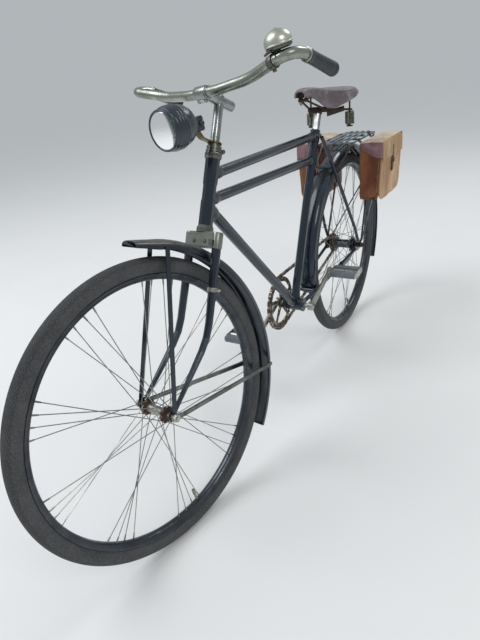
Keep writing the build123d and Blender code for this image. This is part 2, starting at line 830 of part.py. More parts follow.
def front_hub():
    """Narrow front hub shell."""
    flange = 34.0
    half = [(9.0, 42.0), (12.0, 40.0), (12.0, flange + 1.6), (20.0, flange + 1.5), (20.0, flange - 1.5),
            (12.5, flange - 1.6), (9.5, 20.0)]
    profile = [(r, -y) for r, y in half] + [(r, y) for r, y in reversed(half)]
    reach = across * 50
    return spun(profile, front_axle, 10).cut(hole(front_axle - reach, front_axle + reach, axle_radius + axle_gap))


def rear_hub():
    """Back-pedal brake hub: barrel, two flanges and the wider brake end on the left."""
    profile = [
        (20.0, -43.0), (24.0, -35.1), (33.0, -35.0), (33.0, -32.0), (24.0, -31.9), (17.0, -25.0), (17.0, 22.0),
        (22.0, 31.9), (33.0, 32.0), (33.0, 35.0), (24.0, 35.1), (24.0, 44.0), (17.0, 48.0),
    ]
    reach = across * 60
    return spun(profile, rear_axle, 12).cut(hole(rear_axle - reach, rear_axle + reach, axle_radius + axle_gap))


def rear_sprocket():
    """Rear sprocket with its carrier."""
    tip = sprocket_radius - 5.0
    disc = toothed(rear_axle, sprocket_teeth, tip, 5.0, plate_thickness, -chain_line)
    carrier = rod(rear_axle - across * 43.5, rear_axle - across * (chain_line + 3), 17.0)
    reach = across * 70
    bore = hole(rear_axle - reach, rear_axle, axle_radius + axle_gap)
    return fused([disc, carrier]).cut(bore).solid()


# Fork and front end

def front_axle_set():
    """Front axle with cones, spacers, washers and nuts."""
    outside = fork_tip_half_width + fork_end_thickness / 2
    half = across * (outside + 19)
    pieces = [rod(front_axle - half, front_axle + half, axle_radius)]
    for side in (-1, 1):
        pieces += nut(front_axle + across * (side * (strap_side + 3.8)), side, 9.0, 7)
        pieces.append(rod(front_axle + across * (side * (outside + 0.1)),
                          front_axle + across * (side * (strap_side - 0.1)), 8.0))
        pieces.append(rod(front_axle + across * (side * (outside - fork_end_thickness - 0.1)),
                          front_axle + across * (side * 42.4), 8.0))
    return fused(pieces)


def blade_points(side):
    """Centre line of a fork blade: straight, a short bend, then straight to the axle."""
    share = 1 - fork_bend_height / (crown_low + 24)
    knee_side = fork_half_width + (fork_tip_half_width - fork_half_width) * share
    top = on_head(crown_low + 24, 0, side * fork_half_width)
    knee = on_head(fork_bend_height, 0, side * knee_side)
    tip = on_head(10, fork_offset * 0.945, side * fork_tip_half_width)
    return [top, *with_bends([top, knee, tip], fork_bend_radius, 2)[1:-1], tip]


def blade_radii():
    """Radii of a blade at the points of its centre line."""
    radius = fork_blade_radius
    return [radius, radius * 0.84, radius * 0.8, radius * 0.76, radius * 0.46]


def fork_crown():
    """Box crown with the steerer tube that runs up through the head tube."""
    width = fork_half_width + fork_blade_radius + 1
    plane = Plane(origin=on_head(crown_low), x_dir=steer_ahead, z_dir=steer_up)
    deep = crown_half_depth
    outline = [(deep, width - 9), (deep - 7, width), (7 - deep, width), (-deep, width - 9)]
    outline += [(u, -v) for u, v in reversed(outline)]
    block = extrude(plane * make_face(Polyline(*outline, close=True)), amount=crown_high - crown_low).solid()
    steerer = rod(on_head(crown_high - 2), on_head(head_tube_high + 8), steerer_radius, sides=12)
    race = rod(on_head(crown_high - 1), on_head(crown_high + 0.6), 20.0)
    cutters = []
    for side in (-1, 1):
        points = blade_points(side)
        start = points[0]
        cutters.append(rod(start, start + (points[1] - start) * 0.5, fork_blade_radius + 0.1, sides=10))
    return fused([block, steerer, race]).cut(*cutters)


def fork_blade(side):
    """Fork blade, tapered to the tip, with a flat end drilled for the axle."""
    points = blade_points(side)
    radii = blade_radii()
    collar = points[0] + (points[1] - points[0]) * 0.25
    tip = points[-1]
    inner = side * fork_tip_half_width - fork_end_thickness / 2
    end = front_axle + across * (side * fork_tip_half_width)
    fork_end = side_plate([(tip.X - 7, tip.Z + 6), (tip.X + 5, tip.Z + 11), (end.X + 11, end.Z + 2),
                           (end.X + 8, end.Z - 11), (end.X - 6, end.Z - 10)], inner, fork_end_thickness)
    blade = bar([points[0], collar, *points[1:]], [radii[0], *radii], 10)
    drill = across * 15
    return fused([blade, fork_end]).cut(hole(end - drill, end + drill, axle_radius + 0.1)).solid()


def fork_band():
    """Band clamp with its bolt on the left blade."""
    points = blade_points(1)
    radii = blade_radii()
    share = 0.6
    centre = points[0] + (points[1] - points[0]) * share
    along = (points[1] - points[0]).normalized()
    inner = radii[0] + (radii[1] - radii[0]) * (share - 0.25) / 0.75 + 0.3
    band = rod(centre - along * 5, centre + along * 5, inner + 2.0, sides=10)
    ears = rod(centre, centre + across * (inner + 11), 4.0)
    bolt_centre = centre + across * (inner + 7)
    bolt = rod(bolt_centre - steer_ahead * 8, bolt_centre + steer_ahead * 8, 2.6)
    inside = rod(centre - along * 9, centre + along * 9, inner, sides=10)
    return fused([band, ears, bolt]).cut(inside).solid()


def front_strap(side):
    """Flat strap stay from the front axle to the mudguard's front."""
    ring, cutter = eye(front_axle, side, strap_side, 1.6, 9.0)
    reach = mudguard_radius - mudguard_depth + 4.8
    top = around(front_axle, reach, front_strap_angle, side * (mudguard_half_width + 1.1))
    foot = front_axle + across * (side * (strap_side + 0.8))
    level = Vector(top.X - foot.X, 0, top.Z - foot.Z).normalized()
    bend = foot + level * 18
    pieces = [ring]
    for start, end in ((foot, bend), (bend - level * 0.3, top)):
        along = (end - start).normalized()
        wide = across.cross(along).normalized()
        plane = Plane(origin=start, x_dir=wide, z_dir=along)
        pieces.append(extrude(plane * Rectangle(13, 1.6), amount=(end - start).length).solid())
    return fused(pieces).cut(cutter).solid()


def front_stays():
    """Strap stays to the front and round stays to the back of the front mudguard."""
    solids = []
    for side in (-1, 1):
        solids.append(front_strap(side))
        solids.append(round_stay(front_axle, side, strap_side + 1.8, front_stay_angle))
    return Compound(solids)


def head_clamp():
    """Locking collar over the top bearing, with its pinch bolt."""
    low = head_tube_high + 8.0
    pieces = [
        bar([on_head(low), on_head(low + 4), on_head(low + 5), on_head(low + 26)], [20.0, 20.0, 17.5, 15.5]),
        rod(on_head(low + 14, -24), on_head(low + 14, -8), 5.0),
        rod(on_head(low + 14, -19, -10), on_head(low + 14, -19, 10), 3.0),
    ]
    return fused(pieces).cut(hole(on_head(low - 2), on_head(low + 40), quill_radius + 0.1))


def stem():
    """Quill with the sliding cross tube that holds the bar."""
    height = stem_height
    clamp_centre = on_head(height, stem_reach)
    clamp_half = across * stem_clamp_half
    pieces = [
        rod(on_head(head_tube_high + 8.2), on_head(height + 12), quill_radius),
        bar([on_head(height + 11), on_head(height + 16), on_head(height + 19)], [8.0, 8.0, 6.0]),
        bar([on_head(height, -44), on_head(height, -40), on_head(height, stem_reach - 2)], [9.0, 12.5, 12.5]),
        rod(clamp_centre - clamp_half, clamp_centre + clamp_half, bar_sleeve_radius + 3.2),
    ]
    bore = rod(clamp_centre - across * 30, clamp_centre + across * 30, bar_sleeve_radius + 0.1, sides=12)
    return fused(pieces).cut(bore)


def bar_corners():
    """Corners of the left half of the bar: end of the straight, dip, corner, start and way of the grip."""
    middle = on_head(stem_height, stem_reach)
    slope = math.radians(grip_slope)
    return [
        middle + across * (bar_straight + 6),
        middle + Vector(-bar_dip_back, bar_dip_side, bar_dip_rise),
        middle + Vector(bar_forward, bar_half_width, bar_rise),
        middle + Vector(-grip_back, bar_half_width, grip_rise),
        Vector(-math.cos(slope), 0, -math.sin(slope)),
    ]


def to_right(point):
    """Point mirrored to the rider's right."""
    return Vector(point.X, -point.Y, point.Z)


def handlebar():
    """Gull-winged touring bar with the thicker sleeve that the stem clamps."""
    middle = on_head(stem_height, stem_reach)
    first_bend, dip, corner, grip_start, grip_way = bar_corners()
    last_bend = grip_start - grip_way * 12
    curve = with_bends([dip, corner, last_bend], bar_bend_radius, 2)
    path = [first_bend, *curve, grip_start + grip_way * 0.1]
    radii = [bar_radius] * len(path)
    half = bar(path, radii, 12)
    other = bar([to_right(point) for point in path], radii, 12)
    straight = rod(to_right(first_bend), first_bend, bar_radius, sides=12)
    sleeve_half = across * (stem_clamp_half + 2)
    sleeve = rod(middle - sleeve_half, middle + sleeve_half, bar_sleeve_radius, sides=12)
    return fused([straight, half, other, sleeve])


def grip(side):
    """Grip with a collar at its start and a swollen end."""
    _, _, _, start, way = bar_corners()
    if side < 0:
        start, way = to_right(start), to_right(way)
    profile = [(15.5, 0.2), (15.5, 5), (13.5, 6), (14.5, grip_length - 7), (16.0, grip_length - 5),
               (13.0, grip_length)]
    return spun(profile, start, 12, way)


def bell():
    """Domed bell on a clamp round the bar, tilted back."""
    _, dip, corner, _, _ = bar_corners()
    along = (dip - corner).normalized()
    seat = dip + (corner - dip) * bell_share
    lean = Vector(-0.16, -0.38, 0.91)
    base = seat + Vector(-17.0, 11.0, 22.5)
    wide = bell_radius
    dome = [(wide - 3, 8), (wide, 10), (wide, 14), (wide * 0.94, 22), (wide * 0.74, 31), (wide * 0.4, 37),
            (3.0, 39.5)]
    clamp = rod(seat - along * 7, seat + along * 7, bar_radius + 2.6, sides=12)
    pieces = [clamp, rod(seat, base + lean * 9, 4.5), spun(dome, base, 12, lean)]
    return fused(pieces).cut(rod(seat - along * 20, seat + along * 20, bar_radius + 0.3, sides=12))


lamp_ring = head_tube_high + 34.3


def lamp_place(back):
    """Point on the lamp's centre line, counted back from the front ring."""
    front = on_head(stem_height, stem_reach).X + lamp_before_bar + lamp_length / 2
    return Vector(front - back, 0, on_head(lamp_ring).Z + lamp_rise)


def lamp_body():
    """Drum lamp shell with pressed ribs and a rounded back, hollow behind the front ring."""
    r = lamp_radius
    profile = [(r - 4, 0), (r + 2, 1.5), (r + 2, 11), (r - 1, 13), (r - 1, 36), (r + 1.5, 39), (r - 1, 42),
               (r - 1, 48), (r + 1.5, 51), (r - 1, 54), (r - 2, 72), (r - 10, 86), (r - 26, lamp_length)]
    back = Vector(-1, 0, 0)
    shell = spun(profile, lamp_place(0), 16, back)
    bowl = spun([(r - 6, -2), (r - 6, 7), (8.0, 34)], lamp_place(0), 16, back)
    return shell.cut(bowl).solid()


def lamp_lens():
    """Slightly domed clear glass."""
    r = lamp_radius - 6.4
    return spun([(r * 0.5, -1.5), (r, 1.5), (r, 5)], lamp_place(0), 16, Vector(-1, 0, 0))


def lamp_bracket():
    """Curved strap from a ring under the stem forward and up to the lamp's back."""
    low = lamp_ring
    ring = rod(on_head(low), on_head(low + 4), 17.0, sides=12)
    bore = hole(on_head(low - 2), on_head(low + 8), quill_radius + 0.1)
    back = lamp_place(lamp_length)
    line = with_bends([on_head(low + 2, 12), on_head(low + 2, 42), Vector(back.X - 2.2, 0, back.Z - 18),
                       Vector(back.X - 2.2, 0, back.Z + 9)], 16, 2)
    upper = []
    lower = []
    for before, point, after in zip([line[0]] + line[:-1], line, line[1:] + [line[-1]]):
        way = (after - before).normalized()
        normal = Vector(-way.Z, 0, way.X)
        upper.append(point + normal * 1.5)
        lower.append(point - normal * 1.5)
    strap = plate_on(upper + lower[::-1], -9.0, 18.0)
    bolt = rod(Vector(back.X - 10, 0, back.Z + 1), Vector(back.X - 0.3, 0, back.Z + 1), 6.0)
    return fused([ring, strap, bolt]).cut(bore).solid()


# Saddle

saddle_clamp = on_seat(post_height + saddle_clamp_rise)
spring_place = Vector(saddle_centre - saddle_half_length * 0.8, saddle_half_width * 0.68, saddle_clamp.Z - 14)

# Saddle top from the back to the nose: share along, half width, rise of the top, depth of the side
saddle_table = [
    (-1.00, 0.55, -12.0, 24.0),
    (-0.88, 0.93, -7.0, 32.0),
    (-0.55, 1.00, -8.0, 36.0),
    (-0.10, 0.62, -4.0, 50.0),
    (0.35, 0.30, -1.0, 54.0),
    (0.80, 0.22, 3.0, 38.0),
    (1.00, 0.12, 0.0, 24.0),
]


def seat_post():
    """Plain seat post."""
    return rod(on_seat(seat_tube_length - post_in_tube), on_seat(post_height), seat_post_radius, sides=12)


def saddle_inside(x):
    """Half width inside the saddle's skirt at a place along the bicycle."""
    place = (x - saddle_centre) / (saddle_half_length - leather)
    for (start, width, _, _), (end, next_width, _, _) in zip(saddle_table, saddle_table[1:]):
        if start <= place <= end:
            share = (place - start) / (end - start)
            return saddle_half_width * (width + (next_width - width) * share) - leather
    return saddle_half_width * saddle_table[-1][1] - leather


def saddle_rings(shrink):
    """Corners of the saddle's cross sections; shrink gives the inside of the leather."""
    rings = []
    for share, width, rise, depth in saddle_table:
        x = saddle_centre + share * (saddle_half_length - shrink)
        half = saddle_half_width * width - shrink
        top = saddle_height + rise - shrink
        low = top - depth - shrink * 2
        rings.append([Vector(x, y, z) for y, z in (
            (-half, low), (-half, top - 14), (-half * 0.86, top - 6), (-half * 0.5, top - 1.5), (0, top),
            (half * 0.5, top - 1.5), (half * 0.86, top - 6), (half, top - 14), (half, low))])
    return rings


def saddle_leather():
    """Leather top with its skirt, hollow underneath."""
    return skin(saddle_rings(0)).cut(skin(saddle_rings(leather))).solid()


def saddle_frame():
    """Undercarriage: post clamp, two wires, nose bar, rear plate and spring rods."""
    wire = saddle_wire_radius
    nose = Vector(saddle_centre + saddle_half_length * 0.8, 0, saddle_height - 26)
    half = across * 32
    pieces = [
        rod(saddle_clamp - half, saddle_clamp + half, 9.0),
        rod(on_seat(post_height + 0.1), saddle_clamp, 14.5),
    ]
    for side in (-1, 1):
        rear = Vector(spring_place.X, side * spring_place.Y, spring_place.Z)
        pieces.append(bar([nose + across * (side * 9), saddle_clamp + across * (side * 26), rear], [wire] * 3))
        low = rear - Vector(0, 0, spring_length + 6)
        pieces.append(rod(low, Vector(rear.X, rear.Y, saddle_height - 34), 3.0))
        pieces.append(rod(rear - Vector(0, 0, 2.5), rear + Vector(0, 0, 2.5), 9.0))
        pieces.append(rod(low, low + Vector(0, 0, 3), 11.0))
    nose_half = across * (saddle_inside(nose.X + 5) - seat_gap)
    pieces.append(rod(nose - nose_half, nose + nose_half, 5.0))
    plate_half = min(saddle_inside(spring_place.X - 8), saddle_inside(spring_place.X + 8)) - seat_gap
    plate_corner = Vector(spring_place.X - 8, -plate_half, saddle_height - 37)
    pieces.append(Solid.make_box(16, plate_half * 2, 3, Plane(origin=plate_corner)))
    return fused(pieces)


def saddle_spring(side):
    """Coil spring under the saddle's rear corner, drawn as stacked turns."""
    length = spring_length - 1.0
    step = length / spring_turns
    profile = [(spring_radius - 5, 0)]
    for turn in range(spring_turns):
        profile += [(spring_radius, (turn + 0.5) * step), (spring_radius - 5, (turn + 1) * step)]
    top = Vector(spring_place.X, side * spring_place.Y, spring_place.Z - 2.7)
    down = Vector(0, 0, -1)
    body = spun(profile, top, 8, down)
    return body.cut(hole(top - down * 5, top + down * (length + 5), 3.5)).solid()


# Bags

def lengthwise(outline, start, length, side):
    """Solid drawn in the front view and drawn out along the bicycle."""
    plane = Plane(origin=(start, 0, 0), x_dir=(0, side, 0), z_dir=(side, 0, 0))
    return extrude(plane * make_face(Polyline(*outline, close=True)), amount=length * side).solid()


bag_back = bag_front - bag_length
bag_far = bag_inside + bag_thickness


def bag_outline(shrink, top):
    """Front view of a bag as (distance outwards, height) corners."""
    near = bag_inside + shrink
    far = bag_far - shrink
    low = bag_top - bag_height + shrink
    return [(near, top), (near, low + 6), (near + 6, low), (far - 16, low), (far - 5, low + 6), (far, low + 20),
            (far, top)]


def hanging_loop(side, start):
    """Leather loop that hangs a bag on the rack's rail."""
    reach = rack_rail_radius + seat_gap
    rail = rack_half_width
    outline = [(bag_inside + 1, bag_top - 30), (bag_inside + 1, bag_top - 3), (bag_inside - 4, bag_top - 3),
               (rail + reach + 2, rack_height + reach + 2), (rail - 8, rack_height + reach + 2),
               (rail - 8, rack_height + reach), (rail + reach, rack_height + reach),
               (rail + reach, rack_height - reach), (rail + reach + 6, bag_top - 12), (bag_inside - 3, bag_top - 30)]
    return lengthwise(outline, start, strap_width, side)


def bag(side):
    """Leather bag, open at the top under its lid, with the loops that hang it on the rack."""
    outside = lengthwise(bag_outline(0, bag_top), bag_back, bag_length, side)
    inside = lengthwise(bag_outline(leather, bag_top + 5), bag_back + leather, bag_length - 2 * leather, side)
    pieces = [outside.cut(inside)]
    for share in (0.3, 0.8):
        pieces.append(hanging_loop(side, bag_back + bag_length * share - strap_width / 2))
    return fused(pieces)


def bag_lid(side):
    """Lid that drops over the bag's outer face and ends, with its closing strap."""
    sheet = bag_far + lid_gap
    top = bag_top + lid_gap
    drop = bag_top - lid_drop
    outline = [(bag_inside, top), (bag_inside, top + leather), (bag_far - 8, top + leather + 5),
               (sheet + leather, bag_top - 4), (sheet + leather, drop), (sheet, drop),
               (bag_inside + 40, bag_top - 38), (bag_inside + 3, bag_top - 24)]
    inner = [(bag_inside - 9, top), (bag_inside - 9, drop - 30), (sheet, drop - 30), (sheet, top)]
    start = bag_back - lid_gap - leather
    length = bag_length + 2 * (lid_gap + leather)
    cap = lengthwise(outline, start, length, side)
    room = lengthwise(inner, bag_back - lid_gap, bag_length + 2 * lid_gap, side)
    face = sheet + leather
    strap = [(face - 1, bag_top - 12), (face + 2.5, bag_top - 12), (face + 2.5, drop - 55), (face, drop - 55),
             (face, drop + 2), (face - 1, drop + 4)]
    middle = bag_front - bag_length / 2
    return fused([cap.cut(room), lengthwise(strap, middle - strap_width / 2, strap_width, side)]).solid()


# Writing

frame_pieces = {
    "head_tube": head_tube(),
    "headset_cups": headset_cups(),
    "top_tube_upper": frame_tube(upper_head_joint, upper_seat_joint, top_tube_radius),
    "top_tube_lower": frame_tube(lower_head_joint, lower_seat_joint, top_tube_radius),
    "down_tube": frame_tube(down_head_joint, bracket, down_tube_radius, lug_reach, bracket_lug_reach),
    "seat_tube": seat_tube(),
    "bottom_bracket_shell": bracket_shell(),
    "chain_stays": chain_stays(),
    "seat_stays": seat_stays(),
    "rear_axle": rear_axle_set(),
    "brake_arm": brake_arm(),
    "rear_mudguard": mudguard(rear_axle, rear_guard_start, rear_guard_end),
    "rear_mudguard_stays": rear_stays(),
    "rear_rack": rear_rack(),
    "rack_legs": Compound([rack_leg(1), rack_leg(-1)]),
    "chain": chain(),
    "seat_post": seat_post(),
    "saddle_leather": saddle_leather(),
    "saddle_frame": saddle_frame(),
    "saddle_springs": Compound([saddle_spring(1), saddle_spring(-1)]),
    "bag_left": bag(1),
    "bag_right": bag(-1),
    "bag_lid_left": bag_lid(1),
    "bag_lid_right": bag_lid(-1),
    "rear_tyre": tyre(rear_axle),
    "rear_rim": rim(rear_axle),
    "rear_spokes": spokes(rear_axle, 33.5, 30.0),
    "rear_hub": rear_hub(),
    "rear_sprocket": rear_sprocket(),
    "chainring": chainring(),
    "crank_left": crank(1),
    "crank_right": crank(-1),
    "pedal_left": pedal(1),
    "pedal_right": pedal(-1),
    "pedal_rubbers_left": pedal_rubbers(1),
    "pedal_rubbers_right": pedal_rubbers(-1),
}

steered_pieces = {
    "fork_crown": fork_crown(),
    "fork_blades": Compound([fork_blade(1), fork_blade(-1)]),
    "fork_band": fork_band(),
    "front_axle": front_axle_set(),
    "front_mudguard": mudguard(front_axle, front_guard_start, front_guard_end),
    "front_mudguard_stays": front_stays(),
    "head_clamp": head_clamp(),
    "stem": stem(),
    "handlebar": handlebar(),
    "grips": Compound([grip(1), grip(-1)]),
    "bell": bell(),
    "lamp_bracket": lamp_bracket(),
    "lamp_body": lamp_body(),
    "lamp_lens": lamp_lens(),
    "front_tyre": tyre(front_axle),
    "front_rim": rim(front_axle),
    "front_spokes": spokes(front_axle, 34.0, 17.5),
    "front_hub": front_hub(),
}

os.makedirs("parts", exist_ok=True)
to_origin = Location(saddle_seat * -1)
for name, piece in frame_pieces.items():
    export_step(piece.moved(to_origin), f"parts/{name}.step")
for name, piece in steered_pieces.items():
    export_step(piece.rotate(steer_axis, steering_turn).moved(to_origin), f"parts/{name}.step")
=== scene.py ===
"""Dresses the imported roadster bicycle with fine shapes, materials, a floor, lights and a camera."""

import json
import math
import random

import bmesh
import bpy
from mathutils import Matrix, Vector


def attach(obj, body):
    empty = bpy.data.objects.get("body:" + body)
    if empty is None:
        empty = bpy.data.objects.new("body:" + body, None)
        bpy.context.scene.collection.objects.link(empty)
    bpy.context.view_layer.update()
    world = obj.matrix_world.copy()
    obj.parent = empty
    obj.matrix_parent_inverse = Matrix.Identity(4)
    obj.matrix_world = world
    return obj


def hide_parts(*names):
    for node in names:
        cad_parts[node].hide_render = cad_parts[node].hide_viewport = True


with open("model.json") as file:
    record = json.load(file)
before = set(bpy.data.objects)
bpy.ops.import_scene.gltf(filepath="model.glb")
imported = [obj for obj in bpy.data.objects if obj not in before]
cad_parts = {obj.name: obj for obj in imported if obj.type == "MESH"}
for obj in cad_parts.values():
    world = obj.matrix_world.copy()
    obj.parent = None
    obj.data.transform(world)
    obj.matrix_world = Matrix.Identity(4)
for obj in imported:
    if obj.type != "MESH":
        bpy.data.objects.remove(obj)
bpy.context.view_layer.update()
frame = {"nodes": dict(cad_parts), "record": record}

random.seed(7)

# Sizes shared with the solids, in millimetres over the ground point below the rear axle
tyre_radius = 355.0
wheelbase = 1220.0
fork_offset = 86.0
head_angle = 65.0
steering_turn = -12.7
seat_angle = 66.0
bracket = Vector((498.0, 0.0, 306.0))
post_height = 627.0
saddle_above_post = 78.0
saddle_set_back = 3.0
head_tube_high = 593.0
stem_height = 726.0
stem_reach = 53.0
rack_height = 757.0

steer_up = Vector((-math.cos(math.radians(head_angle)), 0, math.sin(math.radians(head_angle))))
steer_ahead = Vector((steer_up.z, 0, -steer_up.x))
rear_axle = Vector((0, 0, tyre_radius))
front_axle = Vector((wheelbase, 0, tyre_radius))
steer_foot = front_axle - steer_ahead * fork_offset
seat_up = Vector((-math.cos(math.radians(seat_angle)), 0, math.sin(math.radians(seat_angle))))
post_top = bracket + seat_up * post_height
saddle_centre = post_top.x - saddle_set_back
saddle_height = post_top.z + saddle_above_post
origin = Vector((saddle_centre, 0, saddle_height))
steer_rotation = Matrix.Rotation(math.radians(steering_turn), 4, steer_up)
leftward = Vector((0, 1, 0))
upward = Vector((0, 0, 1))
steer_axes = (steer_ahead, leftward, steer_up)
steered_bodies = ("steering", "front_wheel")


def row(point):
    """A point in the millimetres of the sizes above, in the part's own frame in metres."""
    return (Vector(point) - origin) / 1000


def steered(point):
    """A point of the steered parts, turned to the resting angle, in metres."""
    return row(steer_foot + steer_rotation @ (Vector(point) - steer_foot))


def on_head(height, ahead=0.0, side=0.0):
    """Point by its height along the steering axis, its distance ahead of it and its distance to the left."""
    return steer_foot + steer_up * height + steer_ahead * ahead + leftward * side


# Mesh helpers

def make_piece(name, points, faces, body, paint, stands_for=None, uvs=None):
    """Painted mesh piece from millimetre points; uvs holds one pair for each face corner."""
    place = steered if body in steered_bodies else row
    mesh = bpy.data.meshes.new(name)
    mesh.from_pydata([place(point) for point in points], [], faces)
    mesh.validate()
    if uvs:
        layer = mesh.uv_layers.new(name="UVMap")
        for loop, pair in zip(layer.data, uvs):
            loop.uv = pair
    mesh.polygons.foreach_set("use_smooth", [True] * len(mesh.polygons))
    mesh.update()
    piece = bpy.data.objects.new(name, mesh)
    bpy.context.scene.collection.objects.link(piece)
    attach(piece, body)
    mesh.materials.clear()
    mesh.materials.append(paints[paint])
    if stands_for:
        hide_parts(stands_for)
    return piece


def sharpen(piece, degrees):
    """Shades flat across edges that turn more than an angle."""
    bm = bmesh.new()
    bm.from_mesh(piece.data)
    limit = math.radians(degrees)
    for edge in bm.edges:
        if len(edge.link_faces) == 2 and edge.calc_face_angle(0) > limit:
            edge.smooth = False
    bm.to_mesh(piece.data)
    bm.free()


def thicken(piece, thickness, offset=-1):
    """Gives a sheet a thickness in millimetres."""
    solid = piece.modifiers.new("thickness", "SOLIDIFY")
    solid.thickness = thickness / 1000
    solid.offset = offset


def grid_faces(rows, columns, close_rows=False, close_columns=False):
    """Quads over a grid of points stored row by row."""
    faces = []
    for r in range(rows if close_rows else rows - 1):
        here, below = r * columns, (r + 1) % rows * columns
        for c in range(columns if close_columns else columns - 1):
            beside = (c + 1) % columns
            faces.append((here + c, here + beside, below + beside, below + c))
    return faces


def both_ways(half):
    """Profile of (radius, distance) points made whole by its mirror image."""
    return half + [(radius, -distance) for radius, distance in reversed(half)]


def dome_arc(radius, rise, base, degrees):
    """Profile points of a dome over a base, at several angles above its edge."""
    return [(radius * math.cos(turn), base + rise * math.sin(turn)) for turn in map(math.radians, degrees)]


def end_faces(rings, sides):
    """Faces over the first and the last of several rings of points."""
    return [tuple(range(sides))[::-1], tuple(range((rings - 1) * sides, rings * sides))]


def circle(centre, first, second, radius, sides):
    """Points of a circle that starts at the first direction and turns to the second."""
    turns = [2 * math.pi * side / sides for side in range(sides)]
    return [centre + (first * math.cos(turn) + second * math.sin(turn)) * radius for turn in turns]


class Shape:
    """Collects points and faces of several parts of one piece."""

    def __init__(self):
        self.points = []
        self.faces = []

    def add(self, points, faces):
        start = len(self.points)
        self.points += [Vector(point) for point in points]
        self.faces += [tuple(index + start for index in face) for face in faces]

    def add_rings(self, points, rings, sides, caps):
        faces = grid_faces(rings, sides, close_columns=True)
        self.add(points, faces + end_faces(rings, sides) if caps else faces)

    def tube(self, path, radii, sides):
        """Round bar along a path, with its section carried smoothly round the bends."""
        count = len(path)
        radii = radii if isinstance(radii, list) else [radii] * count
        way = (path[1] - path[0]).normalized()
        first = way.orthogonal().normalized()
        points = []
        for index, point in enumerate(path):
            before = (point - path[index - 1]).normalized() if index else way
            after = (path[index + 1] - point).normalized() if index < count - 1 else before
            tangent = (before + after).normalized()
            first = (first - tangent * first.dot(tangent)).normalized()
            points += circle(point, first, tangent.cross(first), radii[index], sides)
        self.add_rings(points, count, sides, True)

    def turned(self, profile, centre, way, sides, caps=True):
        """Turned shape from (radius, distance) points along a line."""
        way = Vector(way).normalized()
        first = way.orthogonal().normalized()
        second = way.cross(first)
        points = []
        for radius, distance in profile:
            points += circle(centre + way * distance, first, second, radius, sides)
        self.add_rings(points, len(profile), sides, caps)

    def box(self, centre, half, axes, bevel):
        """Block with its edges cut off, from half its size along each of three axes."""
        bm = bmesh.new()
        bmesh.ops.create_cube(bm, size=2.0)
        for vertex in bm.verts:
            vertex.co = Vector((vertex.co.x * half[0], vertex.co.y * half[1], vertex.co.z * half[2]))
        bmesh.ops.bevel(bm, geom=list(bm.edges), offset=bevel, segments=2, affect="EDGES")
        points = [centre + axes[0] * v.co.x + axes[1] * v.co.y + axes[2] * v.co.z for v in bm.verts]
        bm.verts.index_update()
        faces = [tuple(v.index for v in face.verts) for face in bm.faces]
        bm.free()
        self.add(points, faces)

    def strip(self, path, width, thickness, overlap, bevel, wide=None):
        """Flat strap along a path, whose width stands in the side view unless its direction is given."""
        for start, end in zip(path, path[1:]):
            way = (end - start).normalized()
            beside = wide if wide is not None else leftward.cross(way).normalized()
            half = (width / 2, thickness / 2, (end - start).length / 2 + overlap)
            self.box((start + end) / 2, half, (beside, way.cross(beside), way), bevel)

    def piece(self, name, body, slot, paint, stands_for=None, sharp=40):
        """Makes the painted piece, with edges sharper than an angle in degrees shaded flat."""
        made = make_piece(name, self.points, self.faces, body, paint, stands_for)
        sharpen(made, sharp)
        return made


def turned_piece(name, profile, centre, way, sides, body, slot, paint, stands_for=None, sharp=40, caps=True):
    """Piece that is one turned shape."""
    shape = Shape()
    shape.turned(profile, centre, way, sides, caps)
    shape.piece(name, body, slot, paint, stands_for, sharp)


def arc_path(corners, radius, steps):
    """Path through corners with arcs of a given radius, or of one radius for each corner."""
    corners = [Vector(corner) for corner in corners]
    radii = radius if isinstance(radius, (list, tuple)) else [radius] * (len(corners) - 2)
    path = [corners[0]]
    for before, corner, after, radius in zip(corners, corners[1:], corners[2:], radii):
        into = (corner - before).normalized()
        out = (after - corner).normalized()
        half = into.angle(out) / 2
        centre = corner + (out - into).normalized() * (radius / math.cos(half))
        start = corner - into * (radius * math.tan(half))
        for step in range(steps + 1):
            turn = 2 * half * step / steps
            path.append(centre + (start - centre) * math.cos(turn) + into * (radius * math.sin(turn)))
    path.append(corners[-1])
    return path


# Materials

class NodeTree:
    """Adds shader nodes to a tree."""

    def __init__(self, tree):
        self.tree = tree

    def put(self, socket, value):
        """Links an output to an input, or gives the input a value; a colour may leave out its alpha."""
        if isinstance(value, bpy.types.NodeSocket):
            self.tree.links.new(value, socket)
        elif isinstance(value, tuple) and len(value) == 3 and len(socket.default_value) == 4:
            socket.default_value = (*value, 1)
        else:
            socket.default_value = value

    def node(self, kind, inputs=None, **settings):
        made = self.tree.nodes.new(kind)
        for key, value in settings.items():
            setattr(made, key, value)
        for key, value in (inputs or {}).items():
            self.put(made.inputs[key], value)
        return made

    def math(self, operation, first, second=0.0):
        return self.node("ShaderNodeMath", {0: first, 1: second}, operation=operation).outputs["Value"]


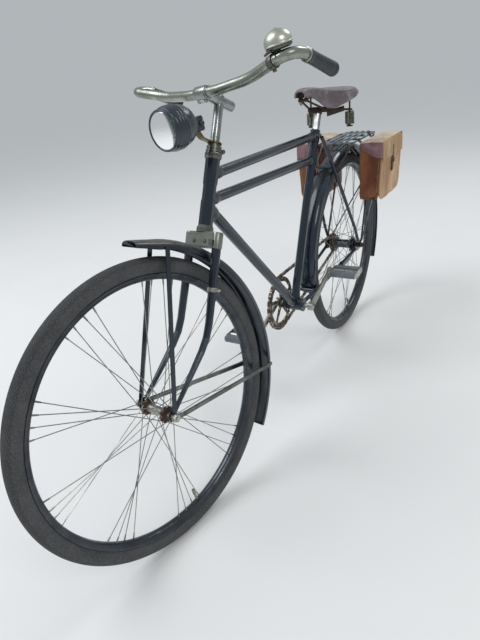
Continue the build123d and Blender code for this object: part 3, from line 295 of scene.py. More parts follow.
class Paint(NodeTree):
    """Builds one procedural material on the Principled shader."""

    def __init__(self, name, color, roughness, metallic=0.0, **settings):
        self.material = bpy.data.materials.new(name)
        self.material.use_nodes = True
        super().__init__(self.material.node_tree)
        self.shader = self.tree.nodes["Principled BSDF"]
        self.color(color)
        self.rough(roughness)
        self.metal(metallic)
        for key, value in settings.items():
            self.put(self.shader.inputs[key], value)
        self.place = self.node("ShaderNodeTexCoord").outputs["Object"]

    def noise(self, scale, detail, roughness=0.6, stretch=(1, 1, 1), offset=0.0):
        shift = (offset, offset * 0.7, offset * 0.3)
        place = self.node("ShaderNodeMapping", {"Vector": self.place, "Location": shift, "Scale": stretch})
        made = self.node("ShaderNodeTexNoise", {"Vector": place.outputs["Vector"], "Scale": scale,
                                                "Detail": detail, "Roughness": roughness})
        return made.outputs["Fac"]

    def cells(self, scale, feature="F1"):
        made = self.node("ShaderNodeTexVoronoi", {"Vector": self.place, "Scale": scale}, feature=feature)
        return made.outputs["Distance"]

    def band(self, value, low, high, to_low=0.0, to_high=1.0):
        """Runs smoothly from one number to another while a value runs from low to high."""
        made = self.node("ShaderNodeMapRange", {"Value": value, "From Min": low, "From Max": high,
                                                "To Min": to_low, "To Max": to_high},
                         interpolation_type="SMOOTHSTEP")
        return made.outputs["Result"]

    def times(self, first, second):
        return self.math("MULTIPLY", first, second)

    def plus(self, first, second):
        return self.math("ADD", first, second)

    def minus(self, first, second):
        return self.math("SUBTRACT", first, second)

    def most(self, first, second):
        return self.math("MAXIMUM", first, second)

    def blend(self, share, first, second):
        return self.node("ShaderNodeMix", {"Factor": share, 6: first, 7: second}, data_type="RGBA").outputs[2]

    def color(self, value):
        self.put(self.shader.inputs["Base Color"], value)

    def rough(self, value):
        self.put(self.shader.inputs["Roughness"], value)

    def metal(self, value):
        self.put(self.shader.inputs["Metallic"], value)

    def bump(self, height, depth, strength=1.0):
        """Raises the surface by a height from 0 to 1 times a depth in millimetres."""
        made = self.node("ShaderNodeBump", {"Height": height, "Strength": strength, "Distance": depth / 1000})
        self.put(self.shader.inputs["Normal"], made.outputs["Normal"])


def enamel(name, color, rust=0.5, gloss=0.2, dust=0.2, dirt_up=0.0):
    """Old stove enamel: gloss dulled in clouds, rusty chips, a film of dust tinted blue as painted sky
    reflection, a blue specular tint that paints sky colour into its gloss, and dirt on what faces up.
    """
    # The blue specular tint is painted sky colour in the enamel's reflections.
    finish_and_sky_tint = {"Specular IOR Level": 0.6, "Specular Tint": (0.72, 0.86, 1.0), "Coat Weight": 0.3,
              "Coat Roughness": 0.1}
    paint = Paint(name, color, gloss, 0.0, **finish_and_sky_tint)
    chips = paint.band(paint.noise(95, 6, 0.7), 0.68 - 0.05 * rust, 0.715 - 0.05 * rust)
    clouds = paint.noise(9, 3, 0.6, offset=3)
    # Dust film whose bluish tone is partly real dust and partly painted sky reflection on the dark enamel.
    dust_and_sky_sheen = paint.band(clouds, 0.42, 0.75, 0.0, dust)
    tone = paint.blend(dust_and_sky_sheen, color, (0.040, 0.055, 0.082))
    stained = paint.band(paint.noise(30, 5, 0.65, offset=9), 0.58, 0.8, 0, 0.5)
    stain = paint.blend(stained, tone, (0.05, 0.034, 0.024))
    rough = paint.band(clouds, 0.3, 0.75, gloss * 0.75, gloss + 0.16)
    if dirt_up:
        normal = paint.node("ShaderNodeNewGeometry").outputs["Normal"]
        normal = paint.node("ShaderNodeSeparateXYZ", {"Vector": normal})
        facing = paint.band(normal.outputs["Z"], 0.25, 0.95, 0.0, dirt_up)
        patchy = paint.times(facing, paint.band(paint.noise(24, 6, 0.7, offset=6), 0.34, 0.56))
        stain = paint.blend(patchy, stain, (0.105, 0.095, 0.070))
        rough = paint.most(rough, paint.times(patchy, 0.8))
    paint.color(paint.blend(chips, stain, (0.10, 0.050, 0.028)))
    paint.rough(paint.most(rough, paint.times(chips, 0.7)))
    paint.bump(paint.minus(paint.noise(160, 3, 0.5), paint.times(chips, 0.8)), 0.3, 0.3)
    return paint.material


def rack_enamel():
    """Rack paint: pale blue-grey painted sky reflection on the deck's top, near black painted shade on the
    struts below it.
    """
    paint = Paint("rack_paint", (0.10, 0.13, 0.16), 0.36)
    height = paint.node("ShaderNodeSeparateXYZ", {"Vector": paint.place})
    deck = row((0, 0, rack_height)).z
    # Share at the deck's top: there the paint gets the painted sky reflection, below it the painted shade.
    up = paint.band(height.outputs["Z"], deck - 0.009, deck - 0.003)
    clouds = paint.noise(34, 5, 0.65)
    # Pale blue-grey painted sky reflection on the deck's top, with random clouds.
    deck_sky_reflection = paint.blend(paint.band(clouds, 0.35, 0.7), (0.085, 0.115, 0.145), (0.26, 0.31, 0.35))
    # Near black painted shade on the struts below the deck, with a little random grey.
    below = paint.blend(paint.band(clouds, 0.45, 0.75, 0, 0.5), (0.013, 0.015, 0.018), (0.06, 0.06, 0.062))
    chips = paint.band(paint.noise(120, 6, 0.7, offset=3), 0.62, 0.66)
    paint.color(paint.blend(chips, paint.blend(up, below, deck_sky_reflection), (0.09, 0.048, 0.028)))
    paint.rough(paint.most(paint.band(clouds, 0.3, 0.7, 0.25, 0.5), paint.times(chips, 0.75)))
    paint.bump(paint.minus(paint.noise(180, 3, 0.5), chips), 0.3, 0.35)
    return paint.material


def plated(name, color, rough, pits, tarnish=(0.20, 0.15, 0.10)):
    """Old plating: clouded shine with brown pits and a grey bloom."""
    paint = Paint(name, color, rough, 1.0)
    spots = paint.band(paint.noise(170, 6, 0.75), 0.68 - 0.08 * pits, 0.74 - 0.08 * pits)
    clouds = paint.noise(22, 4, 0.65, offset=5)
    bloom = paint.blend(paint.band(clouds, 0.35, 0.72), color, tuple(c * 0.62 for c in color))
    brown = paint.blend(paint.band(paint.noise(48, 5, 0.7, offset=2), 0.52, 0.75, 0, pits), bloom, tarnish)
    paint.color(paint.blend(spots, brown, (0.10, 0.055, 0.03)))
    paint.metal(paint.minus(1.0, paint.times(spots, 0.7)))
    cloudy = paint.band(clouds, 0.3, 0.75, rough * 0.7, rough + 0.2)
    paint.rough(paint.most(cloudy, paint.times(spots, 0.8)))
    paint.bump(paint.minus(paint.noise(240, 3, 0.6), spots), 0.25, 0.4)
    return paint.material


def rusted(name, shine, dark, light, steel):
    """Rusted steel with bare bright spots where it rubs."""
    paint = Paint(name, light, 0.75, 0.3)
    coarse = paint.noise(55, 6, 0.7)
    fine = paint.noise(320, 4, 0.7, offset=4)
    rust = paint.blend(paint.band(coarse, 0.32, 0.68), dark, light)
    rust = paint.blend(paint.band(fine, 0.4, 0.7, 0, 0.5), rust, (0.09, 0.05, 0.032))
    bare = paint.band(paint.noise(80, 5, 0.65, offset=8), 0.62 - 0.15 * shine, 0.72 - 0.15 * shine)
    paint.color(paint.blend(bare, rust, steel))
    paint.metal(paint.times(bare, 0.9))
    paint.rough(paint.band(bare, 0, 1, 0.85, 0.42))
    paint.bump(paint.plus(coarse, fine), 0.4, 0.6)
    return paint.material


def rubber(name, color, dust, rough):
    """Aged rubber with a grey bloom and dust in its grain."""
    paint = Paint(name, color, rough)
    clouds = paint.noise(26, 5, 0.65)
    grains = paint.noise(420, 3, 0.6, offset=6)
    tone = paint.blend(paint.band(clouds, 0.35, 0.75, 0, 0.75), color, dust)
    paint.color(paint.blend(paint.band(grains, 0.5, 0.75, 0, 0.4), tone, tuple(c * 1.5 for c in dust)))
    paint.rough(paint.band(clouds, 0.3, 0.7, rough - 0.15, rough + 0.12))
    paint.bump(grains, 0.3, 0.4)
    return paint.material


def tyre_rubber():
    """Tyre with ribbed sides, a fine worn zigzag tread and painted shade in its grooves; U runs round the
    tyre, V across it, in metres.
    """
    paint = Paint("tyre_rubber", (0.05, 0.05, 0.053), 0.8)
    uv = paint.node("ShaderNodeSeparateXYZ", {"Vector": paint.node("ShaderNodeTexCoord").outputs["UV"]})
    around, across = uv.outputs["X"], uv.outputs["Y"]
    swing = paint.math("PINGPONG", around, 0.0065)
    wave = paint.plus(paint.math("ABSOLUTE", across), paint.times(swing, 0.9))
    groove = paint.band(paint.math("PINGPONG", wave, 0.0027), 0.0005, 0.0013)
    tread = paint.band(paint.math("ABSOLUTE", across), 0.0205, 0.0215, 1.0, 0.0)
    ribs = paint.band(paint.math("PINGPONG", across, 0.0032), 0.0001, 0.0006)
    height = paint.plus(paint.times(groove, tread), paint.times(ribs, 0.35))
    clouds = paint.noise(18, 5, 0.65)
    fine = paint.noise(260, 4, 0.7, offset=3)
    tone = paint.blend(paint.band(clouds, 0.35, 0.72), (0.036, 0.039, 0.044), (0.078, 0.080, 0.082))
    dusty = paint.blend(paint.band(fine, 0.45, 0.75, 0, 0.55), tone, (0.15, 0.145, 0.135))
    # Painted shade: the tread's grooves are darkened in colour as well as sunk by the bump.
    groove_shade = paint.times(paint.minus(1.0, groove), paint.times(tread, 0.8))
    paint.color(paint.blend(groove_shade, dusty, (0.014, 0.015, 0.017)))
    paint.rough(paint.band(clouds, 0.3, 0.7, 0.62, 0.9))
    paint.bump(paint.plus(height, paint.times(fine, 0.25)), 0.9, 0.7)
    return paint.material


def leather_paint(name, color, light, dark, rough):
    """Old leather: pebbled grain, fine cracks, rubbed light patches and dark stains."""
    grain = 330.0
    paint = Paint(name, color, rough)
    clouds = paint.noise(11, 4, 0.6)
    rubbed = paint.noise(30, 5, 0.7, offset=4)
    tone = paint.blend(paint.band(clouds, 0.3, 0.7), dark, color)
    tone = paint.blend(paint.band(rubbed, 0.48, 0.72, 0, 0.7), tone, light)
    cracks = paint.band(paint.cells(grain * 0.45, "DISTANCE_TO_EDGE"), 0.0, 0.06, 1.0, 0.0)
    scars = paint.band(paint.noise(70, 6, 0.75, stretch=(0.3, 1, 1.6), offset=7), 0.64, 0.7)
    tone = paint.blend(paint.times(cracks, 0.35), tone, tuple(c * 0.55 for c in dark))
    paint.color(paint.blend(paint.times(scars, 0.5), tone, tuple(c * 0.6 for c in dark)))
    paint.rough(paint.band(rubbed, 0.3, 0.7, rough - 0.1, rough + 0.22))
    paint.bump(paint.minus(paint.plus(paint.cells(grain), paint.times(clouds, 2.0)), cracks), 0.5, 0.5)
    return paint.material


def streaked_leather(name, color, light, dark, rough):
    """Smooth cowhide that hung outdoors: its tone runs down in streaks, with pale scuffs."""
    paint = Paint(name, color, rough)
    streaks = paint.noise(13, 5, 0.62, stretch=(1, 1, 0.22))
    fine = paint.noise(75, 5, 0.7, stretch=(1, 1, 0.16), offset=5)
    clouds = paint.noise(8, 3, 0.55, offset=2)
    tone = paint.blend(paint.band(streaks, 0.34, 0.66), dark, color)
    tone = paint.blend(paint.band(clouds, 0.48, 0.72, 0, 0.85), tone, light)
    tone = paint.blend(paint.band(fine, 0.52, 0.72, 0, 0.45), tone, dark)
    scuffs = paint.band(paint.noise(60, 6, 0.75, stretch=(1, 1, 0.6), offset=11), 0.63, 0.70, 0, 0.55)
    paint.color(paint.blend(scuffs, tone, light))
    paint.rough(paint.band(fine, 0.3, 0.7, rough - 0.08, rough + 0.2))
    paint.bump(paint.plus(paint.cells(420.0), paint.times(streaks, 1.6)), 0.45, 0.45)
    return paint.material


def glass_paint():
    """Greenish lamp glass, a little wavy."""
    paint = Paint("lamp_glass", (0.86, 0.95, 0.90), 0.03, 0.0, **{"Transmission Weight": 1.0, "IOR": 1.45})
    paint.bump(paint.noise(60, 2, 0.5), 0.5, 0.12)
    return paint.material


def reflector_paint():
    """Silvering gone cloudy in the lamp's bowl."""
    paint = Paint("reflector", (0.90, 0.97, 0.90), 0.30, 0.55)
    clouds = paint.noise(40, 4, 0.6)
    paint.color(paint.blend(paint.band(clouds, 0.45, 0.7), (0.93, 1.0, 0.93), (0.74, 0.82, 0.70)))
    paint.rough(paint.band(clouds, 0.35, 0.7, 0.22, 0.40))
    return paint.material


paints = {
    "rack_paint": rack_enamel(), "tyre_rubber": tyre_rubber(), "lamp_glass": glass_paint(),
    "reflector": reflector_paint(),
}


def paint_all(build, **settings):
    """Builds the materials of one kind from the values that set them apart."""
    for name, values in settings.items():
        paints[name] = build(name, *values)


# Colour, then rust, gloss, dust with its bluish painted sky sheen, and dirt on top
paint_all(enamel,
          black_enamel=((0.006, 0.009, 0.015),),
          guard_enamel=((0.008, 0.009, 0.012), 0.7, 0.2, 0.25, 0.85),
          rear_guard_enamel=((0.007, 0.012, 0.022), 0.6, 0.15, 0.2, 0.22),
          lamp_enamel=((0.017, 0.024, 0.028), 0.2, 0.3, 0.5))
# Colour and roughness, then pits and tarnish
paint_all(plated,
          dull_nickel=((0.27, 0.285, 0.255), 0.40, 0.8, (0.12, 0.09, 0.06)),
          grimy_nickel=((0.17, 0.175, 0.155), 0.40, 0.8, (0.08, 0.055, 0.035)),
          worn_chrome=((0.50, 0.52, 0.53), 0.15, 0.35),
          stem_chrome=((0.37, 0.39, 0.385), 0.19, 0.6, (0.12, 0.11, 0.08)),
          bar_chrome=((0.36, 0.375, 0.33), 0.27, 0.55, (0.14, 0.125, 0.09)),
          pale_steel=((0.50, 0.50, 0.46), 0.34, 0.6),
          stay_steel=((0.21, 0.22, 0.205), 0.42, 0.5, (0.10, 0.08, 0.06)),
          coil_steel=((0.26, 0.26, 0.20), 0.40, 0.7, (0.12, 0.085, 0.05)),
          rim_steel=((0.085, 0.095, 0.110), 0.30, 0.8, (0.11, 0.055, 0.032)),
          spoke_steel=((0.34, 0.335, 0.31), 0.32, 0.6, (0.16, 0.10, 0.07)),
          brass=((0.16, 0.128, 0.066), 0.36, 0.75, (0.07, 0.05, 0.025)),
          bell_metal=((0.68, 0.69, 0.60), 0.33, 0.2, (0.40, 0.38, 0.29)))
# Share of bare metal, then dark rust, light rust and steel
paint_all(rusted,
          rusty_steel=(0.3, (0.040, 0.026, 0.019), (0.12, 0.062, 0.036), (0.34, 0.32, 0.28)),
          chain_steel=(0.8, (0.035, 0.024, 0.018), (0.115, 0.068, 0.042), (0.50, 0.48, 0.43)),
          frame_steel=(0.15, (0.018, 0.013, 0.010), (0.060, 0.036, 0.024), (0.22, 0.20, 0.17)),
          hub_rust=(0.15, (0.034, 0.016, 0.013), (0.10, 0.042, 0.030), (0.30, 0.27, 0.25)))
# Colour, dust and roughness
paint_all(rubber,
          black_rubber=((0.014, 0.016, 0.021), (0.040, 0.046, 0.056), 0.42),
          grey_rubber=((0.10, 0.125, 0.14), (0.20, 0.23, 0.24), 0.7))
# Colour, rubbed tone, stained tone and roughness
paint_all(leather_paint,
          saddle_leather=((0.215, 0.178, 0.190), (0.40, 0.36, 0.37), (0.115, 0.088, 0.096), 0.36),
          raw_hide=((0.060, 0.038, 0.026), (0.13, 0.085, 0.055), (0.022, 0.014, 0.010), 0.8),
          pale_leather=((0.68, 0.58, 0.46), (0.80, 0.73, 0.63), (0.46, 0.32, 0.21), 0.45),
          lid_leather=((0.30, 0.165, 0.185), (0.42, 0.27, 0.28), (0.17, 0.080, 0.088), 0.42),
          strap_leather=((0.085, 0.040, 0.020), (0.16, 0.085, 0.045), (0.040, 0.020, 0.012), 0.42))
paint_all(streaked_leather,
          tan_leather=((0.50, 0.29, 0.135), (0.66, 0.44, 0.24), (0.33, 0.16, 0.065), 0.48),
          cognac_leather=((0.23, 0.072, 0.022), (0.36, 0.15, 0.062), (0.095, 0.027, 0.010), 0.32),
          lid_front=((0.43, 0.265, 0.115), (0.60, 0.42, 0.21), (0.27, 0.145, 0.055), 0.45))

# Plain nodes whose paint isn't their slot's own
node_paint = {
    "handlebar": "bar_chrome", "stem": "stem_chrome", "headset_cups": "grimy_nickel",
    "head_clamp": "grimy_nickel", "front_hub": "hub_rust", "rear_hub": "rim_steel",
    "front_axle": "pale_steel", "fork_band": "pale_steel", "front_rim": "rim_steel", "rear_rim": "rim_steel",
    "front_spokes": "spoke_steel", "rear_spokes": "spoke_steel", "chain": "chain_steel",
    "chainring": "chain_steel", "rear_sprocket": "chain_steel", "saddle_frame": "frame_steel",
    "front_mudguard_stays": "stay_steel",
}
slot_paint = {"dark_steel": "rim_steel", "bag_leather": "cognac_leather"}
for part in frame["record"]["subparts"]:
    mesh = frame["nodes"][part["node"]].data
    slot = part["material_slot"]
    paint = paints[node_paint.get(part["node"], slot_paint.get(slot, slot))]
    if not mesh.materials:
        mesh.materials.append(paint)
    for index in range(len(mesh.materials)):
        mesh.materials[index] = paint
    mesh.polygons.foreach_set("use_smooth", [True] * len(mesh.polygons))


# Wheels

def wheel_point(centre, radius, turn, side):
    """Point round an axle by its radius, its turn upwards from straight ahead and its side."""
    return centre + Vector((radius * math.cos(turn), side, radius * math.sin(turn)))


def ring_uvs(profile, steps):
    """Pair for each face corner of a ring: U runs round it and V across its section, in metres."""
    lengths = [0.0]
    for (r0, y0), (r1, y1) in zip(profile, profile[1:] + profile[:1]):
        lengths.append(lengths[-1] + math.hypot(r1 - r0, y1 - y0))
    middle = lengths[len(profile) // 2]
    across = [(length - middle) / 1000 for length in lengths]
    length = 2 * math.pi * tyre_radius / steps / 1000
    uvs = []
    for step in range(steps):
        start, end = step * length, (step + 1) * length
        for low, high in zip(across, across[1:]):
            uvs += [(start, low), (start, high), (end, high), (end, low)]
    return uvs


def ring_piece(name, centre, profile, steps, body, paint, stands_for, uvs=None):
    """Closed ring round an axle from (radius, y) points of its section."""
    points = []
    for step in range(steps):
        turn = 2 * math.pi * step / steps
        points += [wheel_point(centre, radius, turn, y) for radius, y in profile]
    make_piece(name, points, grid_faces(steps, len(profile), True, True), body, paint, stands_for, uvs)


def tyre_profile():
    """Section of the tyre: round carcass with a slightly flatter tread, open bead inside the rim."""
    sections = 28
    tread = 20.5
    sides = 20.2
    centre = tyre_radius - tread
    profile = []
    for index in range(sections + 1):
        turn = math.radians(-148 + 296 * index / sections)
        radius = sides if abs(turn) > 0.9 else tread - 0.1 * math.cos(turn * 1.7) ** 2
        profile.append((centre + radius * math.cos(turn), radius * math.sin(turn)))
    return profile


tyre_steps = 200
rim_steps = 160
spokes_per_flange = 18
spoke_turn = math.radians(60)
rim_inner_radius = 304.0
valve_turn = math.radians(262)


def rim_section():
    """Section of a roadster rim as (radius, y) points: hooked edges, sloping sides and a well."""
    half_width = 15.0
    section = [(319.5, half_width - 1.2), (318.5, half_width), (316.5, half_width), (314.5, half_width - 1.4),
               (309, half_width - 3.5), (305.5, half_width - 8), (304.2, 4), (rim_inner_radius, 0)]
    return section + [(r, -y) for r, y in reversed(section[:-1])] + [(313, -9), (312, 0), (313, 9)]


def wheel(name, centre, flange_side, flange_radius):
    """Tyre, rim and spokes in place of the plain nodes, with nipples and a valve."""
    body = name + "_wheel"
    steel = (body, "dark_steel", "spoke_steel")
    profile = tyre_profile()
    ring_piece(name + "_tyre_dressed", centre, profile, tyre_steps, body, "tyre_rubber",
               name + "_tyre", ring_uvs(profile, tyre_steps))
    ring_piece(name + "_rim_dressed", centre, rim_section(), rim_steps, body, "rim_steel",
               name + "_rim")
    spokes = Shape()
    nipples = Shape()
    for side in (-1, 1):
        for lead, offset, hook in ((1, 3.7, 2.2), (-1, -2.8, -2.2)):
            for step in range(spokes_per_flange // 2):
                shift = (0.5 if side > 0 else 0.0) + (0.25 if lead > 0 else 0.0) + step * 2
                foot_turn = math.radians(shift * 360 / spokes_per_flange)
                foot = wheel_point(centre, flange_radius, foot_turn, side * (flange_side + offset))
                head = wheel_point(centre, rim_inner_radius, foot_turn + lead * spoke_turn, side * 3.0)
                spokes.tube([foot, head], 1.05, 6)
                nipples.tube([head + (foot - head).normalized() * 13, head], [1.7, 2.1], 6)
                flange = wheel_point(centre, flange_radius, foot_turn, side * flange_side)
                spokes.tube([foot, flange - leftward * (side * hook)], [1.2, 1.9], 6)
    spokes.piece(name + "_spokes_dressed", *steel, name + "_spokes")
    nipples.piece(name + "_nipples", *steel)
    valve = Shape()
    valve.tube([wheel_point(centre, radius, valve_turn, 0) for radius in (306, 284, 283.5, 268)],
               [3.2, 3.2, 4.4, 4.0], 12)
    valve.piece(name + "_valve", *steel)


wheel("rear", rear_axle, 33.5, 30.0)
wheel("front", front_axle, 34.0, 17.5)


def front_hub():
    """Spun flanges of the front hub and the rubbed bright sleeve between them."""
    flanges = Shape()
    outline = [(9.6, 26.0), (12.0, 29.0), (13.0, 32.4), (19.0, 33.0), (20.0, 33.8), (20.0, 35.0),
               (19.0, 35.6), (13.5, 36.2), (12.0, 38.0), (7.0, 38.6)]
    for side in (-1, 1):
        flanges.turned([(r, side * y) for r, y in outline[::side]], front_axle, leftward, 36)
    flanges.piece("front_hub_flanges", "front_wheel", "rusty_steel", "hub_rust", "front_hub")
    sleeve = both_ways([(9.8, -27), (10.3, -26), (9.9, -22), (9.9, -6), (10.9, -5)])
    turned_piece("front_hub_barrel", sleeve, front_axle, leftward, 28, "front_wheel", "rusty_steel",
                 "pale_steel")


front_hub()


# Mudguards

mudguard_radius = 392.0
mudguard_half_width = 29.0
mudguard_depth = 21.0


def guard_section():
    """Rolled mudguard section with beaded edges, as (radius, y) points of a closed outline."""
    edge = mudguard_radius - mudguard_depth
    outer = []
    for index in range(15):
        turn = math.radians(-90 + 180 * index / 14)
        radius = edge + 0.5 + (mudguard_depth - 0.5) * abs(math.cos(turn)) ** 0.75
        outer.append((radius, mudguard_half_width * math.sin(turn)))
    inner = [(radius - 1.4, y * 0.955) for radius, y in reversed(outer)]
    bead = [(edge, mudguard_half_width), (edge - 0.6, 27.6)]
    return outer + bead + inner + [(r, -y) for r, y in reversed(bead)]


def guard(name, centre, start, end, body, paint, tip_degrees=0.0):
    """Mudguard with a few shallow knocks along its crown, and a flattened tip if it has tip degrees."""
    section = guard_section()
    count = len(section)
    steps = int((end - start) / 1.5)
    points = []
    knocks = [(start + (end - start) * random.random(), random.uniform(-18, 18)) for _ in range(9)]
    for step in range(steps + 1):
        degrees = start + (end - start) * step / steps
        turn = math.radians(degrees)
        tip = max(0.0, 1 - (degrees - start) / tip_degrees) if tip_degrees else 0.0
        for radius, y in section:
            crown = mudguard_radius - radius
            radius = mudguard_radius - crown * (1 - 0.35 * tip ** 1.3) + 4.0 * tip ** 2
            y = y * (1 - 0.10 * tip)
            dip = 0.0
            for place_at, at_y in knocks:
                distance = math.hypot((degrees - place_at) * 6.8, y - at_y)
                dip += 0.9 * math.exp(-(distance / 16) ** 2)
            points.append(wheel_point(centre, radius - dip, turn, y))
    faces = grid_faces(steps + 1, count, False, True) + end_faces(steps + 1, count)
    sharpen(make_piece(name + "_dressed", points, faces, body, paint, name), 50)


guard("rear_mudguard", rear_axle, -8.0, 207.0, "frame", "rear_guard_enamel")
guard("front_mudguard", front_axle, 96.4, 217.0, "steering", "guard_enamel", 9.0)


# Fork crown and stays

crown_low = 386.0
crown_high = 424.0


def fork_crown():
    """Box crown with rounded edges and a raised band, with two screws and a small plate in front."""
    shape = Shape()
    middle = on_head((crown_low + crown_high) / 2)
    shape.box(middle, (15.0, 48.5, 19.0), steer_axes, 3.4)
    for side in (-1, 1):
        shape.turned([(12.2, -19.0), (13.4, -17.8), (13.4, 15.0), (11.8, 18.4), (7.0, 19.0)],
                     middle + leftward * (side * 44.5), steer_up, 28)
    shape.box(middle + steer_up * 13.5, (15.9, 46.0, 2.2), steer_axes, 1.0)
    shape.turned([(20.0, -1.0), (20.0, 0.6)], on_head(crown_high), steer_up, 28)
    shape.piece("crown_block", "steering", "dull_nickel", "dull_nickel", "fork_crown", sharp=35)
    screws = Shape()
    for y in (-17.0, 19.0):
        head = on_head(crown_low + 15, 15.0, y)
        screws.turned([(4.6, -1.0), (4.6, 1.0), (3.6, 2.2), (1.0, 2.5)], head, steer_ahead, 16)
    screws.box(on_head(crown_low + 13, 15.4, 40.0), (1.0, 7.0, 7.0), steer_axes, 0.7)
    screws.piece("crown_screws", "steering", "dull_nickel", "grimy_nickel")


def head_clamp():
    """Locking collar and lock rings over the top bearing, with the pinch bolt behind."""
    low = head_tube_high + 8.0
    shape = Shape()
    collars = [(17.0, 0.0), (20.0, 0.4), (20.4, 1.6), (20.4, 4.0), (19.6, 5.0), (17.2, 5.4), (17.2, 7.2)]
    collars += [(19.0, 7.6), (19.0, 11.4), (18.2, 12.2), (16.8, 12.6), (16.8, 14.6), (17.8, 15.2)]
    collars += [(17.8, 20.6), (17.0, 21.2), (15.6, 21.6), (15.0, 26.0), (13.2, 26.0)]
    shape.turned(collars, on_head(low), steer_up, 36)
    ears = on_head(low + 14, -22)
    shape.box(ears, (6.5, 5.5, 5.0), steer_axes, 1.4)
    shape.turned([(5.4, -12.5), (5.4, -8.0), (3.2, -7.8), (3.2, 8.0), (5.4, 8.2), (5.4, 11.5), (3.0, 12.6)],
                 ears, leftward, 6)
    shape.piece("head_lock", "steering", "dull_nickel", "grimy_nickel", "head_clamp", sharp=35)


def front_stays():
    """Flat strap stays to the front, flattened bar stays with round ends to the back."""
    straps = Shape()
    bars = Shape()
    strap_side = 60.6
    strap_turn = math.radians(108.0)
    stay_turn = math.radians(189.6)
    edge = mudguard_radius - mudguard_depth
    for side in (-1, 1):
        foot = front_axle + leftward * (side * (strap_side + 0.8))
        top = wheel_point(front_axle, edge + 4.8, strap_turn, side * (mudguard_half_width + 1.1))
        bend = foot + Vector((top.x - foot.x, 0, top.z - foot.z)).normalized() * 18
        straps.strip([foot, bend, top], 13.0, 1.6, 1.3, 0.48)
        straps.turned([(9.0, -0.8), (9.0, 0.8)], foot, leftward, 20)
        start = front_axle + leftward * (side * (strap_side + 2.7))
        knee = wheel_point(front_axle, 27, stay_turn, side * (strap_side + 4.6))
        reach = wheel_point(front_axle, edge + 5, stay_turn, side * (mudguard_half_width + 2.6))
        bars.strip([start, knee], 12.0, 1.8, 1.2, 0.54)
        bars.strip([knee, reach], 12.0, 4.6, 1.2, 1.38)
        bars.turned([(9.0, -0.9), (9.0, 0.9)], start, leftward, 20)
        bars.turned([(5.2, -1.6), (5.2, 1.2), (3.2, 2.2)], reach, leftward * side, 16)
    straps.piece("front_straps", "steering", "black_enamel", "black_enamel", "front_mudguard_stays")
    bars.piece("front_stay_bars", "steering", "black_enamel", "stay_steel")


# Saddle

saddle_half_length = 140.0
saddle_half_width = 103.0
# Place along it and width, as shares of the halves, then rise and depth of the skirt
saddle_table = [
    (-1.00, 0.54, -9.0, 17.0), (-0.94, 0.82, -5.5, 22.0), (-0.80, 0.97, -4.0, 26.0),
    (-0.60, 1.00, -4.5, 33.0), (-0.35, 0.86, -5.0, 44.0), (-0.10, 0.65, -2.5, 58.0),
    (0.06, 0.50, 1.0, 60.0), (0.22, 0.40, 4.0, 54.0), (0.42, 0.31, 7.5, 42.0), (0.62, 0.25, 9.0, 31.0),
    (0.80, 0.22, 9.0, 24.0), (0.92, 0.20, 7.0, 21.0), (1.00, 0.175, 2.5, 17.0),
]


def saddle_at(place):
    """Width, rise and skirt depth at a place along the saddle, eased between the rows of its table."""
    for before, after in zip(saddle_table, saddle_table[1:]):
        if place <= after[0]:
            share = (place - before[0]) / (after[0] - before[0])
            share = share * share * (3 - 2 * share) * 0.5 + share * 0.5
            return [low + (high - low) * share for low, high in zip(before[1:], after[1:])]
    return saddle_table[-1][1:]


def saddle_top():
    """Hammock leather with a rolled skirt, a sagging middle and a thickness."""
    stations = 44
    columns = 33
    thickness = 3.2
    top_share = 0.62
    shoulder = 13
    points = []
    for layer in (0.0, thickness):
        for step in range(stations + 1):
            share = -1 + 2 * step / stations
            width, rise, depth = saddle_at(share)
            half = saddle_half_width * width - layer
            x = saddle_centre + share * (saddle_half_length - layer) - 20 * max(0.0, -share - 0.6)
            for column in range(columns):
                across = -1 + 2 * column / (columns - 1)
                if abs(across) <= top_share:
                    crown = across / top_share
                    y = half * 0.93 * math.sin(crown * math.pi / 2)
                    dip = 2.5 * (1 - crown * crown) * max(0, 1 - (share + 0.3) ** 2)
                    z = -shoulder * abs(crown) ** 2.6 - dip
                else:
                    skirt = (abs(across) - top_share) / (1 - top_share)
                    flare = 0.93 + 0.07 * math.sin(min(1, skirt * 1.6) * math.pi / 2)
                    tuck = 5.0 * skirt * skirt * max(0.0, 1 - (share / 0.5) ** 2)
                    y = math.copysign(half * flare - tuck, across)
                    curl = 1 - 0.42 * math.exp(-((share - 0.04) / 0.22) ** 2) * (across < 0)
                    z = -shoulder - (depth * curl - shoulder) * skirt
                wrinkle = 0.5 * math.sin(across * 9 + share * 23) * math.exp(-((share + 0.1) / 0.3) ** 2)
                points.append(Vector((x, y, saddle_height + rise + z - layer + wrinkle * (layer == 0))))
    rows = stations + 1
    shift = rows * columns
    outer = grid_faces(rows, columns)
    inner = [tuple(shift + i for i in reversed(face)) for face in outer]
    edges = [((r + 1) * columns, r * columns) for r in range(rows - 1)]
    edges += [(r * columns - 1, (r + 1) * columns - 1) for r in range(1, rows)]
    edges += [(c, c + 1) for c in range(columns - 1)]
    edges += [(shift - columns + c + 1, shift - columns + c) for c in range(columns - 1)]
    rim = [(a, b, shift + b, shift + a) for a, b in edges]
    made = make_piece("saddle_cover", points, outer + inner + rim, "frame",
                      "saddle_leather", "saddle_leather")
    sharpen(made, 60)
    made.data.materials.append(paints["raw_hide"])
    for polygon in made.data.polygons[len(outer):len(outer) + len(inner)]:
        polygon.material_index = 1


